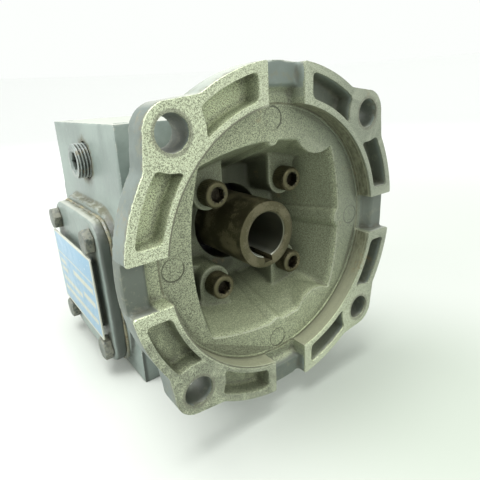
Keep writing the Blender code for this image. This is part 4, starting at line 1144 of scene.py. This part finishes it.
def bead_along(name, route, radii, place, sides=10):
    """A round section of changing radius swept along a closed, nearly flat route."""
    bm = bmesh.new()
    points = [Vector(p) for p in route]
    count = len(points)
    rings = []
    for i, (point, r) in enumerate(zip(points, radii)):
        ahead = (points[(i + 1) % count] - points[i - 1]).normalized()
        side = ahead.cross((0, 0, 1)).normalized()
        up = side.cross(ahead).normalized()
        rings.append([bm.verts.new(point + r * (cos(a) * side + sin(a) * up))
                      for a in (2 * pi * j / sides for j in range(sides))])
    walls(bm, rings + rings[:1])
    return add(name, bm, place)


def joint_sealant(look):
    """A rough bead squeezed out round each cover's gasket."""
    corner_steps, side_steps = 10, 22
    ripple, wander, thin, swell = 120, 0.25 * MM, 0.95, 0.45
    half = COVER_HALF - 0.1 * MM
    straight = half - COVER_CORNER
    outline = [(half, -straight + 2 * straight * i / side_steps) for i in range(side_steps)]
    outline += arc(straight, straight, COVER_CORNER, 0, 90, corner_steps)[:-1]
    outline = [p for k in range(4) for p in rotated(outline, k)]
    joint = (NECK_FACE + COVER_INNER) / 2
    for layer, (side, place) in enumerate((("left", LEFT), ("right", RIGHT))):
        route, radii = [], []
        for x, y in outline:
            here = Vector((x, y, layer)) * ripple
            route.append((x, y, joint + wander * noise.noise(here * 2)))
            radii.append((thin + swell * noise.noise(here)) * MM)
        bead = bead_along(f"{side}_joint_sealant", route, radii, place)
        finish_piece(bead, look, "gearcase", slot="gasket_paper")


def rating_plate(look):
    start, end = low("nameplate"), high("nameplate")
    size = end - start
    plate = prism("rating_plate", rounded_rectangle(size.z / 2, size.y / 2, 2 * MM), -end.x, -start.x,
                  LEFT)
    bevelled(plate, 0.2 * MM)
    finish_piece(plate, look, "gearcase", "nameplate", slot="plate_blue")


# ---- shafts ----
def worm_thread():
    """One start of trapezoid thread, TURNS long, centred on the output axis."""
    root, tip = WORM_R - 1.2 * MODULE - GAP, WORM_R + MODULE
    backlash = 0.5 * MM
    half = (LEAD / 2 - backlash) / 2
    wide, narrow = half + (WORM_R - root) * SLOPE, half - (tip - WORM_R) * SLOPE
    profile = [(root, -wide), (tip, -narrow), (tip, narrow), (root, wide)]
    bm = bmesh.new()
    steps_a_turn = 48
    steps = TURNS * steps_a_turn
    rings = []
    for i in range(steps + 1):
        angle = radians(-90) - TURNS * pi + 2 * pi * TURNS * i / steps
        rise = TURNS * LEAD * (i / steps - 0.5)
        rings.append([bm.verts.new((r * cos(angle), r * sin(angle), z + rise)) for r, z in profile])
    walls(bm, rings)
    bm.faces.new(rings[0])
    bm.faces.new(rings[-1])
    return add("worm_thread", bm, WORM_AXIS)


def hollow_worm(look):
    """The worm with its journals and, in front, the quill that takes the motor's shaft."""
    root = WORM_R - 1.2 * MODULE
    rim = 0.9 * MM
    bore_floor, quill_back, front_end, thread_end = 49 * MM, 45.3 * MM, 32.5 * MM, 25.5 * MM
    groove_front, groove_back = 35.7 * MM, 34.2 * MM
    rear_start, rear_end = -31.7 * MM, -46.5 * MM
    front_r, groove_r, waist_r, rear_r = 15 * MM, 14.2 * MM, 12 * MM, 10 * MM
    bore = [(0, bore_floor), (BORE_R, bore_floor + 3 * MM), (BORE_R, QUILL_END - 1.2 * MM),
            (BORE_R + 0.8 * MM, QUILL_END - 0.2 * MM), (BORE_R + 1.3 * MM, QUILL_END)]
    quill = [(QUILL_R - rim, QUILL_END), (QUILL_R - 0.3 * MM, QUILL_END - 0.3 * MM),
             (QUILL_R, QUILL_END - rim), (QUILL_R, quill_back)]
    front = [(front_r, quill_back), (front_r, groove_front), (groove_r, groove_front),
             (groove_r, groove_back), (front_r, groove_back), (front_r, front_end)]
    waist = [(waist_r, front_end), (waist_r, thread_end), (root, thread_end), (root, -thread_end),
             (waist_r, -thread_end), (waist_r, rear_start)]
    rear = [(rear_r, rear_start), (rear_r, rear_end + 0.6 * MM), (rear_r - 0.6 * MM, rear_end),
            (0, rear_end)]
    worm = turned("hollow_worm", bore + quill + front + waist + rear, WORM_AXIS, steps=128)
    join(worm, worm_thread())
    key_half, key_start = 2.4 * MM, 54 * MM
    key_floor, key_open = -BORE_R - 2.6 * MM, 3.2 * MM - BORE_R
    keyway = [(-key_half, key_floor), (key_half, key_floor), (key_half, key_open),
              (-key_half, key_open)]
    cut(worm, prism("keyway", keyway, key_start, QUILL_END + PAST, WORM_AXIS))
    finish_piece(worm, look, "worm", "worm_shaft", slot="rusty_steel")


def key_bar(name, node, half, room):
    """A bar along the output shaft's rim, as long as its CAD node, with room at ends and floor."""
    depth = KEY_DEPTH + room
    bar = [(-half, -depth), (half, -depth), (half, depth), (-half, depth)]
    place = spun(moved(RIGHT, -SHAFT_R, 0), 90)
    return prism(name, bar, low(node).x - room, high(node).x + room, place)


def keyed_shaft(look, key_look):
    left, right = low("output_shaft").x, high("output_shaft").x
    profile = [(0, right - 2.5 * MM), (1.2 * MM, right - 2.5 * MM), (3 * MM, right),
               (SHAFT_R - 1.2 * MM, right), (SHAFT_R, right - 1.2 * MM), (SHAFT_R, left + MM),
               (SHAFT_R - MM, left), (0, left)]
    shaft = turned("keyed_output_shaft", profile, RIGHT, steps=128)
    for node in ("gear_key", "output_key"):
        cut(shaft, key_bar("keyseat", node, KEY_HALF, GAP))
    finish_piece(shaft, look, "output", "output_shaft", slot="ground_steel")
    key = key_bar("shaft_key", "output_key", KEY_HALF - GAP, 0)
    bevelled(key, 0.35 * MM)
    finish_piece(key, key_look, "output", "output_key", slot="rusty_steel")


def lip_seal(name, node, inner, outer, start, end, place, look):
    """A rubber-cased seal: a recessed face, a dust lip and a garter groove."""
    face = end - 0.5 * MM
    profile = [(inner + GAP, start), (outer, start), (outer, face), (outer - 0.5 * MM, end),
               (outer - 1.6 * MM, end), (outer - 1.9 * MM, face - 0.8 * MM),
               (inner + 2.3 * MM, face - MM), (inner + 1.6 * MM, face - 0.2 * MM),
               (inner + 0.9 * MM, face - 0.2 * MM), (inner + GAP, face - 0.9 * MM)]
    seal = turned(name, profile, place, closed=True, steps=128)
    finish_piece(seal, look, "gearcase", node, slot="black_rubber")


def end_cap(look):
    inner, rim, sheet, dish, outer = -48.5 * MM, -54.5 * MM, 1.5 * MM, 15 * MM, 21 * MM
    round_r = 0.8 * MM
    profile = [(0, inner - sheet), (dish - sheet, inner - sheet), (dish + sheet / 2, inner),
               (outer, inner), (outer, rim + round_r), (outer - round_r / 2, rim),
               (outer - sheet + round_r / 2, rim), (outer - sheet, rim + round_r),
               (outer - sheet, inner - sheet - round_r),
               (outer - sheet - round_r, inner - sheet),
               (dish + sheet, inner - sheet), (dish, inner - 2 * sheet), (0, inner - 2 * sheet)]
    cap = turned("pressed_end_cap", profile, WORM_AXIS, steps=128)
    finish_piece(cap, look, "gearcase", "rear_end_cap", slot="painted_cast_iron")


def dress_inner_nodes(looks):
    """Materials for the CAD nodes that stay as they are, inside the case."""
    kept = {
        "ground_steel": ["left_spacer", "right_spacer"] + [
            f"{place}_bearing_{part}" for place in ("front", "rear", "left", "right")
            for part in ("outer_ring", "inner_ring", "balls")],
        "bronze": ["worm_gear"],
        "rusty_steel": ["front_retaining_ring", "worm_retaining_ring", "gear_key"],
        "gasket_paper": ["flange_gasket", "left_cover_gasket", "right_cover_gasket"],
    }
    for look, names in kept.items():
        for name in names:
            materials = NODES[name].data.materials
            materials.clear()
            materials.append(looks[look])


# ---- the object ----
paint = painted_iron()
aluminium = cast_aluminium()
dark_steel = rusty_steel("rusty_steel", 0.55)
screw_steel = rusty_steel("screw_steel", 0.35, tone=1.2)
shaft_steel = ground_steel()
seal_rubber = rubber()

flange_casting(aluminium)
cap_screws(screw_steel)
housing_casting(paint)
pipe_plugs(painted_thread())
closed_cover(paint)
open_cover(paint)
hexagon_bolts(painted_fastener())
joint_sealant(sealant())
rating_plate(plate_print())
hollow_worm(rusty_steel("quill_steel", 0.55, bore=True))
keyed_shaft(shaft_steel, dark_steel)
lip_seal("output_lip_seal", "output_oil_seal", SHAFT_R, OUTPUT_SEAL_R, *OUTPUT_SEAL, RIGHT,
         seal_rubber)
lip_seal("input_lip_seal", "input_oil_seal", QUILL_R, INPUT_SEAL_R, *INPUT_SEAL, WORM_AXIS,
         seal_rubber)
end_cap(paint)
dress_inner_nodes({"ground_steel": shaft_steel, "bronze": bronze(), "rusty_steel": dark_steel,
                   "gasket_paper": gasket_paper()})


# ---- stage, light and camera ----
def bowl():
    """A floor that curves up all round into a wall, white far off and darker near the object, where a
    shadow is painted on it.
    """
    floor_r, bend = 2.0, 1.5
    profile = [(0, 0), (floor_r * 0.5, 0)]
    profile += [(floor_r + bend * sin(radians(a)), bend * (1 - cos(radians(a))))
                for a in range(0, 41, 5)]
    stage = turned("studio_bowl", profile, steps=128)
    m = Material("studio_white", roughness=0.7)
    aside = m.node("VectorMath", {0: m.coords, 1: (0.06, -0.17, 0)}, operation="SUBTRACT")
    distance = m.node("VectorMath", {0: aside}, output=1, operation="LENGTH")
    # a painted shadow on the floor near the object, to its front and right
    floor_tone_and_shadow = m.mix(m.ramp(distance, 0.02, 0.14), (0.385, 0.425, 0.37), (0.485, 0.51, 0.475))
    floor_tone_and_shadow = m.mix(m.ramp(distance, 0.25, 1.3), floor_tone_and_shadow, (0.90, 0.91, 0.90))
    stage.data.materials.append(m.finish(floor_tone_and_shadow))
    stage.data.shade_smooth()


def area_light(name, location, target, size, power):
    data = bpy.data.lights.new(name, "AREA")
    data.shape = "DISK"
    data.size = size
    data.energy = power
    light = bpy.data.objects.new(name, data)
    light.location = location
    aim = Vector(target) - Vector(location)
    light.rotation_euler = aim.to_track_quat("-Z", "Y").to_euler()
    bpy.context.scene.collection.objects.link(light)


def studio():
    world = bpy.data.worlds.new("studio_air")
    world.use_nodes = True
    background = world.node_tree.nodes["Background"]
    background.inputs["Color"].default_value = (0.98, 1.0, 0.98, 1)
    background.inputs["Strength"].default_value = 1.0
    bpy.context.scene.world = world
    centre = (0, -0.03, 0.08)
    area_light("overhead_soft", (-0.2, -0.1, 1.2), centre, 0.8, 16)
    area_light("left_soft", (-0.95, 0.3, 0.6), centre, 0.6, 7)
    area_light("front_fill", (0.1, -1.3, 0.9), centre, 0.6, 4)
    bpy.context.scene.view_settings.view_transform = "Standard"


def camera():
    """The photograph's camera, fitted to the flange."""
    data = bpy.data.cameras.new("camera")
    data.sensor_width = 36
    data.lens = 29.91
    data.shift_x = -0.00375
    data.shift_y = -0.0127
    data.clip_start = 0.01
    obj = bpy.data.objects.new("camera", data)
    right = Vector((0.7951, -0.6044, -0.0503))
    up = Vector((0.2333, 0.2283, 0.9452))
    back = right.cross(up)
    obj.matrix_world = Matrix((right, up, back)).transposed().to_4x4()
    obj.location = (-0.11694, -0.2454, 0.1527)
    bpy.context.scene.collection.objects.link(obj)
    bpy.context.scene.camera = obj


bowl()
studio()
camera()
